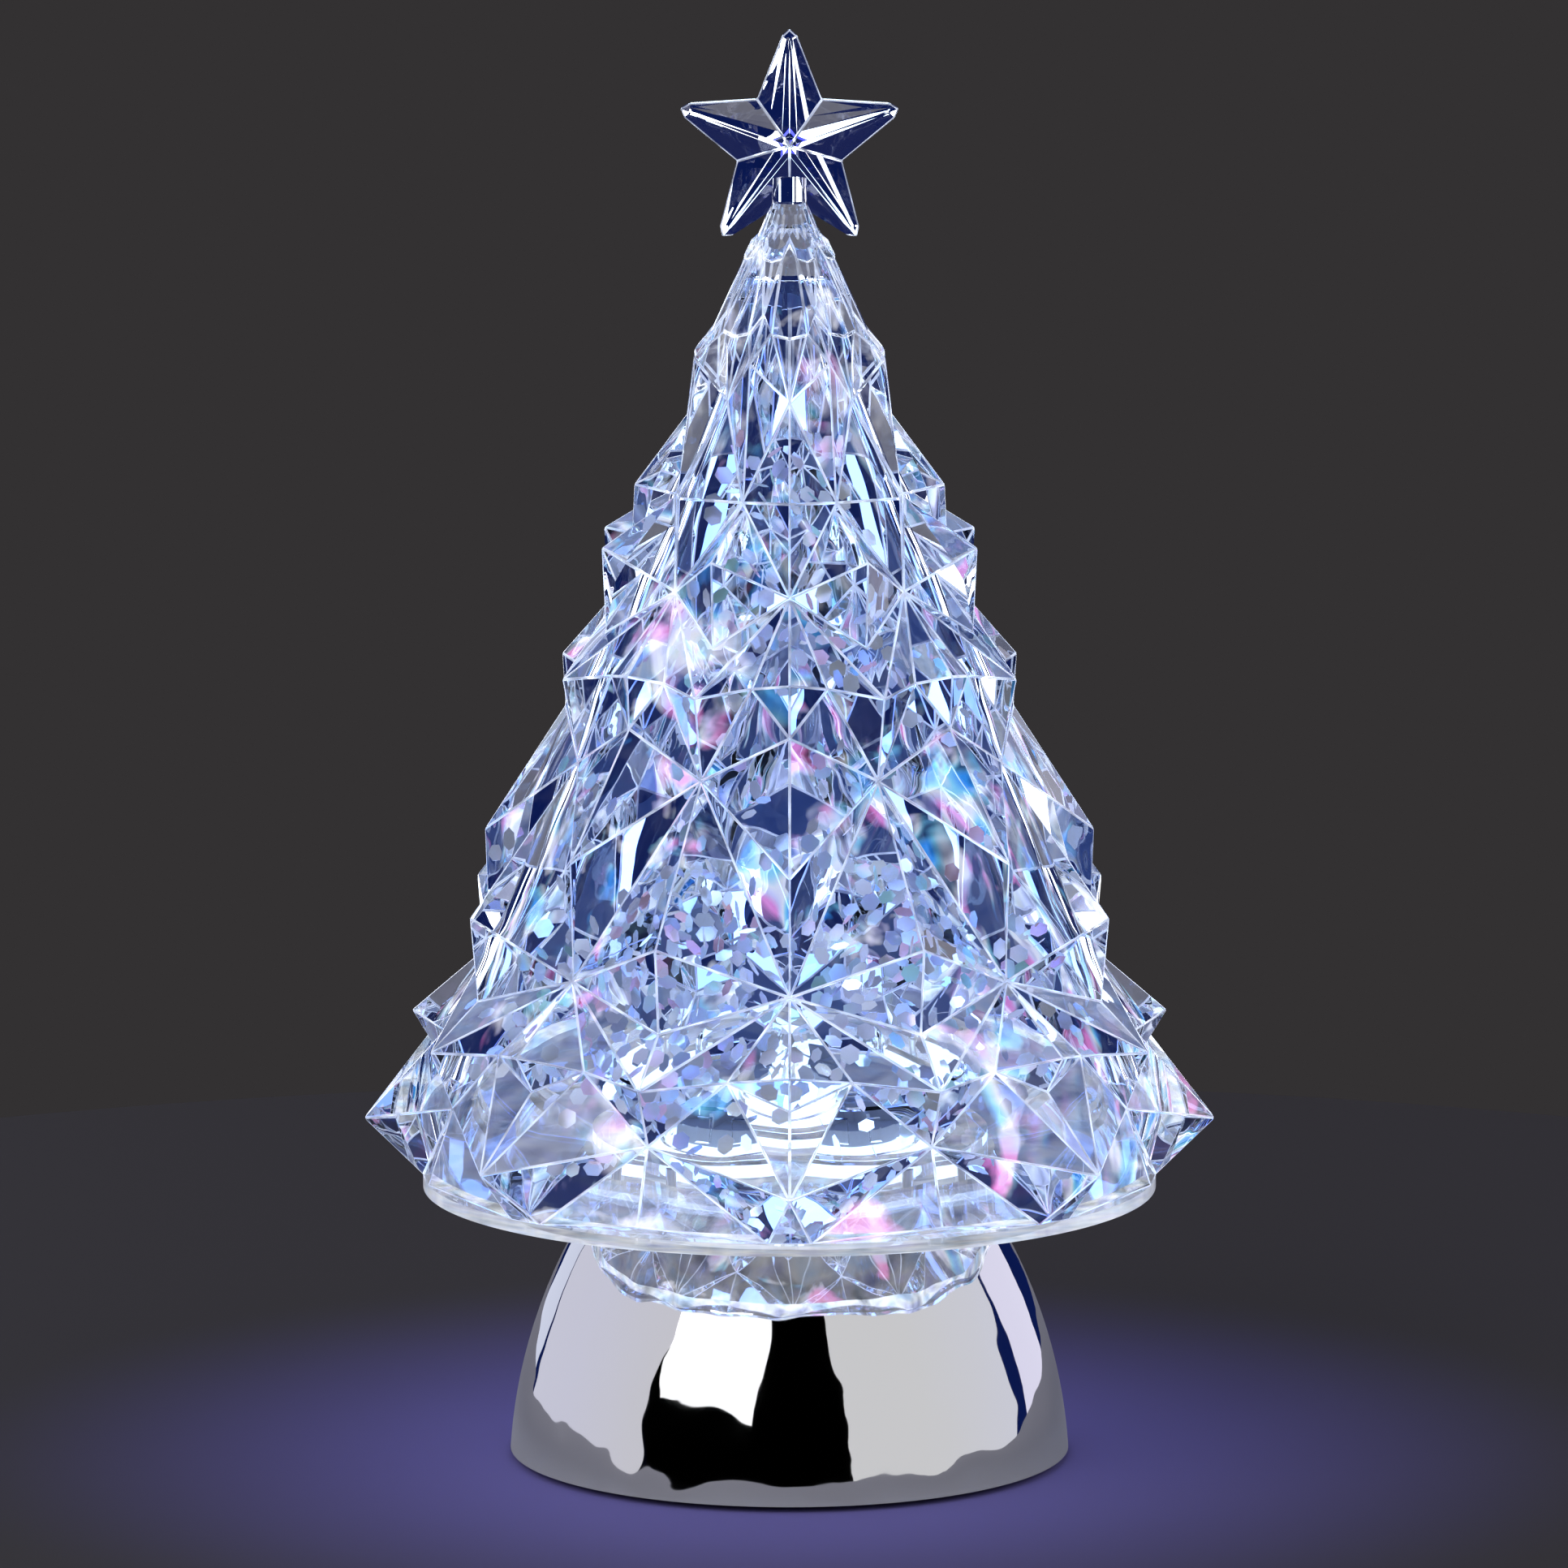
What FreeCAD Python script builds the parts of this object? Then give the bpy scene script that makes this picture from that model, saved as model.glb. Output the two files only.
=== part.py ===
"""Lighted faceted tree water lantern: a clear, liquid-filled fir tree on a plated dome base.

Millimetres, +Z up. The origin is the middle of the footprint, on the surface that the feet stand on.
The front of the lantern looks along -Y.
"""
import FreeCAD
import Part
import Sketcher
import math
import os
import re

FACETS = 8
STAR_POINTS = 5
SPRING_TURNS = 3

# Degrees round the base; the pillars stand clear of the battery door's corners.
PILLAR_ANGLES = (50, 130, 230, 310)

# Driving dimensions: word, value in mm (degrees for angles)
SIZES = {
    # tree
    "tree_radius": 85.3,
    "tree_height": 200.2,
    "tip_radius": 3.5,
    "tip_foot_radius": 8.9,
    "tip_height": 18.0,
    "peg_height": 5.4,
    "shell_mouth_radius": 66.0,
    "plate_radius": 73.4,
    "floor_thickness": 2.5,
    "rib_height": 4.0,
    "rib_width": 7.0,
    # star
    "star_radius": 22.6,
    "star_valley_radius": 10.9,
    "star_depth": 11.0,
    "star_edge": 2.4,
    "star_rise": 6.3,
    "star_tip_round": 1.5,
    "star_inner_radius": 20.6,
    "star_inner_valley": 5.4,
    "star_inner_tip_depth": 3.6,
    "star_inner_valley_depth": 6.4,
    # plated dome
    "base_height": 54.8,
    "base_radius": 56.1,
    "crown_radius": 37.0,
    "dome_curve": 105.8,
    "dome_wall": 2.0,
    "window_radius": 27.0,
    "screw_ring": 32.0,
    "boss_radius": 3.0,
    "boss_drop": 2.8,
    "pillar_inset": 7.9,
    "pillar_radius": 3.6,
    "pillar_height": 25.0,
    "pillar_skin": 8.0,
    # under side
    "foot_height": 1.2,
    "foot_radius": 5.0,
    "foot_ring": 44.0,
    "underside_gap": 0.7,
    "underside_thickness": 2.0,
    # battery bay
    "cell_radius": 7.25,
    "cell_length": 50.5,
    "cell_nub_radius": 2.75,
    "cell_nub_length": 1.5,
    "cell_gap": 0.5,
    "spring_space": 7.7,
    "spring_radius": 3.2,
    "spring_wire": 0.7,
    "contact_thickness": 0.4,
    "contact_width": 12.0,
    "bay_wall": 1.8,
    "bay_slack": 0.5,
    "door_ledge": 2.0,
    "door_gap": 0.35,
    "door_thickness": 1.7,
    "door_peg_radius": 0.6,
    "door_peg_length": 1.6,
    "latch_width": 8.0,
    "latch_height": 4.0,
    "latch_thickness": 1.0,
    "latch_slack": 1.0,
    # slide switch
    "switch_clearance": 1.45,
    "switch_length": 14.0,
    "switch_width": 6.6,
    "switch_height": 5.6,
    "knob_length": 3.5,
    "knob_width": 3.0,
    "knob_travel": 4.0,
    "knob_height": 3.4,
    "switch_cap": 2.0,
    # light tray, board and window
    "tray_wall": 1.8,
    "tray_depth": 11.0,
    "tray_floor": 2.0,
    "window_thickness": 1.5,
    "board_inner_radius": 12.8,
    "board_thickness": 1.6,
    "board_stand": 1.0,
    "board_ledge": 4.0,
    "ear_rim": 1.0,
    "window_air": 1.5,
    "led_margin": 4.5,
    "led_radius": 2.5,
    "led_height": 7.8,
    "led_flange": 0.4,
    "led_flange_height": 1.0,
    # motor
    "motor_radius": 12.2,
    "motor_height": 12.5,
    "motor_wall": 0.8,
    "motor_nose_radius": 3.0,
    "motor_nose_height": 1.5,
    "motor_screw_ring": 9.0,
    "end_cap_thickness": 1.6,
    "end_cap_spigot": 1.0,
    "shaft_pit": 0.5,
    "shaft_sink": 1.0,
    "hub_wall": 2.0,
    "motor_magnet_thickness": 2.1,
    "motor_magnet_stand": 2.5,
    "armature_radius": 8.7,
    "armature_gap": 1.5,
    "armature_stand": 4.0,
    "shaft_radius": 1.0,
    # magnetic drive
    "carrier_radius": 11.0,
    "carrier_height": 4.0,
    "carrier_hub_height": 2.0,
    "magnet_radius": 3.5,
    "magnet_height": 2.5,
    "magnet_offset": 6.5,
    "impeller_pin_radius": 1.25,
    "impeller_pin_height": 9.0,
    "impeller_pin_sink": 1.5,
    "impeller_boss_radius": 3.0,
    "impeller_boss_height": 0.7,
    "impeller_radius": 11.0,
    "impeller_disc_height": 3.5,
    "blade_height": 3.6,
    "blade_thickness": 1.0,
    "blade_tip_gap": 0.5,
    "cage_radius": 15.2,
    "cage_wall": 1.2,
    "cage_height": 11.0,
    "cage_slot": 3.0,
    "plug_radius": 3.0,
    "plug_margin": 2.3,
    "plug_flange": 1.2,
    # fasteners
    "screw_radius": 1.3,
    "screw_head_radius": 2.4,
    "screw_head_height": 1.4,
    "tree_screw_bite": 3.0,
    "base_screw_length": 14.0,
    "small_screw_radius": 1.0,
    "small_screw_rim": 0.9,
    "small_screw_head_height": 1.2,
    # leads
    "lead_radius": 0.6,
    "lead_spacing": 1.8,
    "lead_tail": 9.0,
    "bay_lead_tail": 6.0,
    # clearances
    "running": 0.05,
    "easy": 0.1,
    "moving_gap": 0.3,
    "liquid_gap": 0.3,
}

# Heights and radii that follow from the driving dimensions
DERIVED = {
    "floor_top": "base_height + floor_thickness",
    "tree_top": "floor_top + tree_height",
    "crown_under": "base_height - dome_wall",
    "boss_bottom": "crown_under - boss_drop",
    "rib_inner": "screw_ring - rib_width / 2",
    "rib_outer": "screw_ring + rib_width / 2",
    "underside_top": "foot_height + underside_thickness",
    "underside_radius": "base_radius - dome_wall - underside_gap",
    "pillar_ring": "underside_radius - pillar_inset",
    "door_top": "foot_height + easy + door_thickness",
    "bay_length": "cell_length + spring_space + 2 * contact_thickness",
    "cell_pitch": "2 * cell_radius + cell_gap",
    "bay_width": "2 * cell_pitch + 2 * cell_radius + 2 * bay_slack",
    "bay_roof": "door_top + 2 * cell_radius + 2 * bay_slack",
    "cell_axis": "door_top + cell_radius + bay_slack",
    "door_length": "bay_length + 2 * door_ledge",
    "door_width": "bay_width + 2 * door_ledge",
    "flange_width": "door_width + 4 * door_gap + 2 * bay_wall",
    "switch_offset": "flange_width / 2 + switch_clearance + switch_width / 2",
    "door_axis_x": "door_length / 2 - door_thickness / 2",
    "door_axis_z": "foot_height + easy + door_thickness / 2",
    "tray_radius": "window_radius + tray_wall",
    "tray_top": "crown_under - easy - window_thickness",
    "tray_bottom": "tray_top - tray_depth - tray_floor",
    "board_bottom": "tray_bottom + tray_floor + board_stand",
    "board_outer": "window_radius - easy",
    "can_bottom": "tray_bottom - motor_height",
    "cap_bottom": "can_bottom - end_cap_thickness",
    "carrier_top": "tray_top - window_air",
    "carrier_bottom": "carrier_top - carrier_height",
    "shaft_top": "carrier_top - shaft_sink",
    "impeller_bottom": "floor_top + impeller_boss_height + moving_gap",
    "disc_top": "impeller_bottom + impeller_disc_height",
    "blade_top": "disc_top + blade_height",
    "cage_top": "floor_top + cage_height",
    "screw_bore": "screw_radius + running",
    "plug_ring": "window_radius - plug_margin - plug_flange - plug_radius",
    "led_ring": "window_radius - led_margin - led_flange - led_radius",
    "switch_roof": "underside_top + switch_height",
}

# Corners of one facet group: turn as a share of half a facet step, radius as a share of the tree's
# radius, height as a share of its height above the chamber floor.
TREE_CORNERS = {
    "rim": (0.147, 0.860, 0.000),
    "skirt": (1.0, 0.907, 0.014),
    "low_tip": (0.0, 1.000, 0.054),
    "low_pinch": (1.0, 0.845, 0.089),
    "low_notch": (0.0, 0.834, 0.128),
    "low_wing": (0.444, 0.818, 0.154),
    "second_tip": (1.0, 0.900, 0.147),
    "first_tip": (0.0, 0.885, 0.164),
    "second_crest": (1.0, 0.782, 0.195),
    "middle_pinch": (0.0, 0.703, 0.230),
    "kite_tip": (1.0, 0.800, 0.279),
    "third_tip": (0.0, 0.713, 0.347),
    "leaf_top": (1.0, 0.530, 0.428),
    "third_crest": (0.0, 0.523, 0.472),
    "fourth_tip": (1.0, 0.569, 0.511),
    "upper_wing": (0.444, 0.501, 0.519),
    "fifth_tip": (0.0, 0.530, 0.524),
    "fourth_crest": (1.0, 0.461, 0.555),
    "upper_pinch": (0.0, 0.372, 0.601),
    "sixth_tip": (1.0, 0.471, 0.640),
    "sixth_crest": (1.0, 0.283, 0.689),
    "seventh_tip": (0.0, 0.362, 0.693),
    "spike_top": (1.0, 0.258, 0.765),
    "spike_root": (0.0, 0.203, 0.784),
    "flute_corner": (1.0, 0.240, 0.824),
    "upper_fold": (0.0, 0.172, 0.848),
    "upper_fold_wing": (0.6, 0.172, 0.852),
    "upper_fold_side": (1.0, 0.146, 0.872),
    "upper_lip": (0.0, 0.184, 0.844),
    "upper_lip_wing": (0.6, 0.184, 0.848),
    "upper_lip_side": (1.0, 0.158, 0.868),
    "top_fold": (0.0, 0.084, 0.938),
    "top_fold_wing": (0.4, 0.100, 0.923),
    "top_fold_side": (1.0, 0.103, 0.920),
    "top_lip": (0.0, 0.092, 0.935),
    "top_lip_wing": (0.4, 0.109, 0.920),
    "top_lip_side": (1.0, 0.112, 0.917),
}

# Facets between those corners; each is mirrored and repeated round the tree. A name with a minus
# sign is that corner's mirror image.
TREE_FACETS = (
    ("-rim", "rim", "low_tip"),
    ("low_tip", "rim", "low_pinch"),
    ("low_pinch", "rim", "skirt"),
    ("low_notch", "low_wing", "low_tip"),
    ("low_wing", "low_pinch", "low_tip"),
    ("second_tip", "low_pinch", "low_wing"),
    ("first_tip", "low_wing", "low_notch"),
    ("middle_pinch", "low_wing", "first_tip"),
    ("middle_pinch", "second_tip", "low_wing"),
    ("middle_pinch", "second_crest", "second_tip"),
    ("middle_pinch", "kite_tip", "second_crest"),
    ("leaf_top", "kite_tip", "middle_pinch"),
    ("leaf_top", "middle_pinch", "third_tip"),
    ("third_crest", "leaf_top", "third_tip"),
    ("fifth_tip", "upper_wing", "third_crest"),
    ("upper_wing", "leaf_top", "third_crest"),
    ("fourth_tip", "leaf_top", "upper_wing"),
    ("upper_pinch", "upper_wing", "fifth_tip"),
    ("upper_pinch", "fourth_tip", "upper_wing"),
    ("upper_pinch", "fourth_crest", "fourth_tip"),
    ("upper_pinch", "sixth_tip", "fourth_crest"),
    ("sixth_crest", "sixth_tip", "upper_pinch"),
    ("sixth_crest", "upper_pinch", "seventh_tip"),
    ("spike_root", "sixth_crest", "seventh_tip"),
    ("spike_root", "spike_top", "sixth_crest"),
    ("spike_root", "flute_corner", "spike_top"),
    ("upper_fold", "upper_fold_wing", "spike_root"),
    ("upper_fold_wing", "flute_corner", "spike_root"),
    ("upper_fold_wing", "upper_fold_side", "flute_corner"),
    ("upper_lip", "upper_fold_wing", "upper_fold"),
    ("upper_lip", "upper_lip_wing", "upper_fold_wing"),
    ("upper_lip_wing", "upper_fold_side", "upper_fold_wing"),
    ("upper_lip_wing", "upper_lip_side", "upper_fold_side"),
    ("top_fold", "upper_lip_wing", "upper_lip"),
    ("top_fold", "top_fold_wing", "upper_lip_wing"),
    ("top_fold_wing", "upper_lip_side", "upper_lip_wing"),
    ("top_fold_wing", "top_fold_side", "upper_lip_side"),
    ("top_lip", "top_fold_wing", "top_fold"),
    ("top_lip", "top_lip_wing", "top_fold_wing"),
    ("top_lip_wing", "top_fold_side", "top_fold_wing"),
    ("top_lip_wing", "top_lip_side", "top_fold_side"),
)

# The chamber inside the shell: radius as a share of the mouth's radius, height as a share of the tree's
CHAMBER = ((1.0, 0.0), (1.0, 0.09), (0.79, 0.228), (0.59, 0.428), (0.40, 0.600),
           (0.295, 0.689), (0.18, 0.784), (0.07, 0.89))

document = FreeCAD.newDocument("TreeLantern")
sheet = document.addObject("Spreadsheet::Sheet", "Sizes")
for row, (word, value) in enumerate(SIZES.items(), start=1):
    sheet.set("A%d" % row, word)
    sheet.set("B%d" % row, str(value))
    sheet.setAlias("B%d" % row, word)
document.recompute()

sub_parts = []


def bound(formula):
    """The formula with each size's word turned into its cell, and each derived word into its formula."""
    def cell(match):
        word = match.group(0)
        if word in SIZES:
            return "Sizes." + word
        if word in DERIVED:
            return "(" + bound(DERIVED[word]) + ")"
        return word
    return re.sub(r"[a-z][a-z_]*", cell, formula)


def size(formula):
    """The formula's value now, in mm."""
    return float(sheet.evalExpression(bound(formula)))


def place(piece, x="0", y="0", z="0"):
    """Bind where a piece's own origin lies."""
    for axis, formula in zip("xyz", (x, y, z)):
        piece.setExpression("Placement.Base." + axis, bound(formula))
    return piece


def finished(piece, label):
    """Name a sub-part and put it on the list that is written out."""
    piece.Label = label
    sub_parts.append(piece)
    return piece


def plane(body, role):
    """One of a body's own origin planes."""
    return next(item for item in body.Origin.OriginFeatures if item.Role == role)


def outline(body, role, corners):
    """A closed sketch through the corners. Each is (across, up), or (across, up, radius) where the
    edge that leaves it is an arc of that radius, bulging outwards; a minus sign bends it the same
    way on the way back."""
    sketch = body.newObject("Sketcher::SketchObject", body.Name + "Outline")
    sketch.AttachmentSupport = [(plane(body, role), "")]
    sketch.MapMode = "FlatFace"
    points = [FreeCAD.Vector(size(corner[0]), size(corner[1]), 0) for corner in corners]
    following = points[1:] + points[:1]
    ends = []
    for corner, start, end in zip(corners, points, following):
        if len(corner) == 2:
            edge = sketch.addGeometry(Part.LineSegment(start, end))
            ends.append((edge, 1, 2))
            continue
        radius = size(corner[2])
        middle = (start + end) / 2
        half = start.distanceToPoint(end) / 2
        inward = FreeCAD.Vector(-abs(end.y - start.y), -abs(end.x - start.x), 0).normalize()
        centre = middle + inward * math.sqrt(radius ** 2 - half ** 2)
        circle = Part.Circle(centre, FreeCAD.Vector(0, 0, 1), radius)
        angles = [math.atan2(point.y - centre.y, point.x - centre.x) for point in (start, end)]
        edge = sketch.addGeometry(Part.ArcOfCircle(circle, min(angles), max(angles)))
        ends.append((edge, 1, 2) if angles[0] < angles[1] else (edge, 2, 1))
        rule = sketch.addConstraint(Sketcher.Constraint("Radius", edge, radius))
        sketch.setExpression("Constraints[%d]" % rule, bound(corner[2]))
    for here, after, corner, point in zip(ends, ends[1:] + ends[:1], corners, points):
        sketch.addConstraint(Sketcher.Constraint("Coincident", here[0], here[2], after[0], after[1]))
        if abs(point.x) < 1e-9:
            sketch.addConstraint(Sketcher.Constraint("PointOnObject", here[0], here[1], -2))
        else:
            rule = sketch.addConstraint(Sketcher.Constraint("DistanceX", -1, 1, here[0], here[1], point.x))
            sketch.setExpression("Constraints[%d]" % rule, bound(corner[0]))
        if abs(point.y) < 1e-9:
            sketch.addConstraint(Sketcher.Constraint("PointOnObject", here[0], here[1], -1))
        else:
            rule = sketch.addConstraint(Sketcher.Constraint("DistanceY", -1, 1, here[0], here[1], point.y))
            sketch.setExpression("Constraints[%d]" % rule, bound(corner[1]))
    return sketch


def turned(name, corners):
    """A body turned round Z from a half section."""
    body = document.addObject("PartDesign::Body", name)
    sketch = outline(body, "XZ_Plane", corners)
    turn = body.newObject("PartDesign::Revolution", name + "Turn")
    turn.Profile = sketch
    turn.ReferenceAxis = (sketch, ["V_Axis"])
    turn.Angle = 360
    sketch.Visibility = False
    document.recompute()
    return body


def ring_section(inner, outer, bottom, top):
    """Half section of a plain ring, or of a disc where the inner radius is 0."""
    return [(inner, bottom), (outer, bottom), (outer, top), (inner, top)]


def rod(name, radius, height, x="0", y="0", z="0"):
    """An upright cylinder."""
    piece = document.addObject("Part::Cylinder", name)
    piece.setExpression("Radius", bound(radius))
    piece.setExpression("Height", bound(height))
    return place(piece, x, y, z)


def lying_rod(name, radius, height, x, y, z, axis):
    """A cylinder that lies along X or Y, starting at the place given."""
    piece = rod(name, radius, height, x, y, z)
    turn_about = FreeCAD.Vector(0, 1, 0) if axis == "X" else FreeCAD.Vector(-1, 0, 0)
    piece.Placement.Rotation = FreeCAD.Rotation(turn_about, 90)
    return piece


def block(name, length, width, height, x="0", y="0", z="0"):
    """A box centred on x and y, standing on z."""
    piece = document.addObject("Part::Box", name)
    piece.setExpression("Length", bound(length))
    piece.setExpression("Width", bound(width))
    piece.setExpression("Height", bound(height))
    return place(piece, "%s - (%s) / 2" % (x, length), "%s - (%s) / 2" % (y, width), z)


def joined(name, *pieces):
    """Pieces made into one solid."""
    fuse = document.addObject("Part::MultiFuse", name)
    fuse.Shapes = list(pieces)
    return fuse


def grouped(name, pieces):
    """Separate solids that share one sub-part."""
    group = document.addObject("Part::Compound", name)
    group.Links = list(pieces)
    return group


def cut(name, piece, *tools):
    """A piece with tools taken out of it."""
    result = document.addObject("Part::Cut", name)
    result.Base = piece
    result.Tool = tools[0] if len(tools) == 1 else joined(name + "Tools", *tools)
    return result


def round_place(ring, angle):
    """X and Y formulas of a place on a ring, at an angle in degrees from +X."""
    return "%s * cos(%g)" % (ring, angle), "%s * sin(%g)" % (ring, angle)


def solid_of(corners, facets):
    """A closed solid from corner points and the facets between them."""
    faces = []
    for facet in facets:
        loop = [corners[index] for index in facet]
        faces.append(Part.Face(Part.makePolygon(loop + loop[:1])))
    solid = Part.makeSolid(Part.makeShell(faces))
    if solid.Volume < 0:
        solid.reverse()
    return solid


def shaped(name, shape):
    """A sub-part whose shape is worked out from the sheet in code."""
    piece = document.addObject("Part::Feature", name)
    piece.Shape = shape
    return piece


def tree_corner(name, group, mirrored):
    """One corner of the tree, in facet group 0 to 7, on its own side or on the mirrored side."""
    turn, radius, height = TREE_CORNERS[name]
    step = math.pi / FACETS
    angle = 2 * step * group + (-turn if mirrored else turn) * step - math.pi / 2
    reach = radius * size("tree_radius")
    level = size("floor_top") + height * size("tree_height")
    return FreeCAD.Vector(reach * math.cos(angle), reach * math.sin(angle), level)


def tree_block():
    """The tree's whole outside as one solid: facets, then the round tip that the star sits on."""
    corners = []
    places = {}

    def index(point):
        key = (round(point.x, 4), round(point.y, 4), round(point.z, 4))
        if key not in places:
            places[key] = len(corners)
            corners.append(point)
        return places[key]

    facets = []
    for group in range(FACETS):
        for facet in TREE_FACETS:
            for mirrored in (False, True):
                loop = []
                for word in facet:
                    other_side = word.startswith("-")
                    loop.append(index(tree_corner(word.lstrip("-"), group, mirrored != other_side)))
                if mirrored and facet[0].startswith("-"):
                    continue
                facets.append(tuple(reversed(loop)) if mirrored else tuple(loop))
        rim = index(tree_corner("rim", group, False))
        next_rim = index(tree_corner("rim", group + 1, True))
        facets.append((next_rim, index(tree_corner("skirt", group, False)), rim))
    bottom = []
    top = []
    for group in range(FACETS):
        bottom.append(index(tree_corner("rim", group, True)))
        bottom.append(index(tree_corner("rim", group, False)))
        top.append(index(tree_corner("top_lip", group, False)))
        top.append(index(tree_corner("top_lip_wing", group, False)))
        top.append(index(tree_corner("top_lip_side", group, False)))
        top.append(index(tree_corner("top_lip_wing", group + 1, True)))
    facets.append(tuple(reversed(bottom)))
    middle = index(FreeCAD.Vector(0, 0, size("floor_top") + 0.97 * size("tree_height")))
    for here, after in zip(top, top[1:] + top[:1]):
        facets.append((here, after, middle))
    return solid_of(corners, facets)


def chamber_corners(gap):
    """Half section of the liquid's chamber, drawn in by a gap."""
    points = []
    for share, height in CHAMBER:
        radius = share * size("shell_mouth_radius") - gap
        points.append((radius, size("floor_top") + height * size("tree_height")))
    return points


def lathe(points):
    """A solid turned round Z from (radius, height) points."""
    loop = [FreeCAD.Vector(radius, 0, height) for radius, height in points]
    face = Part.Face(Part.makePolygon(loop + loop[:1]))
    return face.revolve(FreeCAD.Vector(0, 0, 0), FreeCAD.Vector(0, 0, 1), 360)


def tree_tip(gap):
    """The tree's round tip, larger all round by a gap: a short cone with a peg on it."""
    top = size("tree_top")
    shoulder = top - size("peg_height")
    foot = top - size("tip_height")
    wide = size("tip_foot_radius")
    narrow = size("tip_radius")
    return lathe([(0, foot), (wide + gap, foot), (narrow + gap, shoulder), (narrow + gap, top), (0, top)])


def make_tree_shell():
    points = chamber_corners(0)
    chamber = lathe([(0, points[0][1] - 1), (points[0][0], points[0][1] - 1)] + points + [(0, points[-1][1])])
    shell = tree_block().fuse(tree_tip(0)).cut(chamber)
    return finished(shaped("TreeShell", shell.Solids[0]), "tree_shell")


def make_chamber_floor():
    floor = turned("FloorPlate", [
        ("0", "base_height"), ("plate_radius", "base_height"), ("plate_radius", "floor_top"),
        ("rib_outer", "floor_top"), ("rib_outer", "floor_top + rib_height"),
        ("rib_inner", "floor_top + rib_height"), ("rib_inner", "floor_top"),
        ("impeller_boss_radius", "floor_top"),
        ("impeller_boss_radius", "floor_top + impeller_boss_height"),
        ("0", "floor_top + impeller_boss_height")])
    tools = [rod("PinHole", "impeller_pin_radius + running / 2", "floor_thickness + impeller_boss_height",
                 z="base_height + 1"),
             rod("FillerHole", "plug_radius", "floor_thickness", *round_place("plug_ring", 90), "base_height")]
    for number in range(4):
        x, y = round_place("screw_ring", 45 + 90 * number)
        tools.append(rod("FloorScrewHole%d" % number, "screw_bore", "floor_thickness + rib_height - 1",
                         x, y, "base_height"))
    return finished(cut("ChamberFloor", floor, *tools), "chamber_floor")


def star_ring(tip, valley, blunt, tip_depth, valley_depth):
    """A star outline of 20 points: each arm's end is cut blunt, and tips and valleys have own depths."""
    points = []
    centre = FreeCAD.Vector(0, 0, size("tree_top + star_rise"))
    for number in range(STAR_POINTS):
        angle = math.pi / 2 + 2 * math.pi * number / STAR_POINTS
        out = FreeCAD.Vector(math.cos(angle), 0, math.sin(angle))
        side = FreeCAD.Vector(-math.sin(angle), 0, math.cos(angle))
        deep = FreeCAD.Vector(0, tip_depth, 0)
        points.append(centre + deep + out * (tip - 0.9 * blunt) - side * blunt)
        points.append(centre + deep + out * tip)
        points.append(centre + deep + out * (tip - 0.9 * blunt) + side * blunt)
        turn = angle + math.pi / STAR_POINTS
        points.append(centre + FreeCAD.Vector(valley * math.cos(turn), valley_depth, valley * math.sin(turn)))
    return points


def make_star_topper():
    edge = size("star_edge") / 2
    tip_depth = size("star_inner_tip_depth") / 2
    valley_depth = size("star_inner_valley_depth") / 2
    blunt = size("star_tip_round")
    outer = (size("star_radius"), size("star_valley_radius"), blunt)
    inner = (size("star_inner_radius"), size("star_inner_valley"), blunt / 6)
    rings = [star_ring(*inner, -tip_depth, -valley_depth), star_ring(*outer, -edge, -edge),
             star_ring(*outer, edge, edge), star_ring(*inner, tip_depth, valley_depth)]
    count = len(rings[0])
    corners = [point for ring in rings for point in ring]
    facets = []
    for level in range(3):
        for here in range(count):
            after = (here + 1) % count
            low = level * count
            facets.append((low + here, low + after, low + count + after))
            facets.append((low + here, low + count + after, low + count + here))
    apex = size("star_depth") / 2
    centre = size("tree_top + star_rise")
    corners.append(FreeCAD.Vector(0, -apex, centre))
    corners.append(FreeCAD.Vector(0, apex, centre))
    front, back = 4 * count, 4 * count + 1
    for here in range(count):
        after = (here + 1) % count
        facets.append((front, after, here))
        facets.append((back, 3 * count + here, 3 * count + after))
    star = solid_of(corners, facets).cut(tree_tip(size("easy")))
    return finished(shaped("StarTopper", star.Solids[0]), "star_topper")


def make_liquid():
    gap = size("liquid_gap")
    points = chamber_corners(gap)
    low = points[0][1] + gap
    over_rib = low + size("rib_height")
    over_cage = size("cage_top") + gap
    profile = [(points[0][0], low)] + points[1:-1] + [(points[-1][0], points[-1][1] - gap)]
    profile += [(0, points[-1][1] - gap), (0, over_cage), (size("cage_radius") + gap, over_cage),
                (size("cage_radius") + gap, low), (size("rib_inner") - gap, low),
                (size("rib_inner") - gap, over_rib), (size("rib_outer") + gap, over_rib),
                (size("rib_outer") + gap, low)]
    return finished(shaped("Liquid", lathe(profile)), "liquid")


def spoke(name, length, width, height, z, angle):
    """A bar centred on the lantern's axis and turned round it."""
    bar = document.addObject("Part::Box", name)
    bar.setExpression("Length", bound(length))
    bar.setExpression("Width", bound(width))
    bar.setExpression("Height", bound(height))
    turn = FreeCAD.Rotation(FreeCAD.Vector(0, 0, 1), angle)
    half = FreeCAD.Vector(size(length) / 2, size(width) / 2, 0)
    bar.Placement = FreeCAD.Placement(FreeCAD.Vector(0, 0, size(z)) - turn.multVec(half), turn)
    return bar


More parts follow.
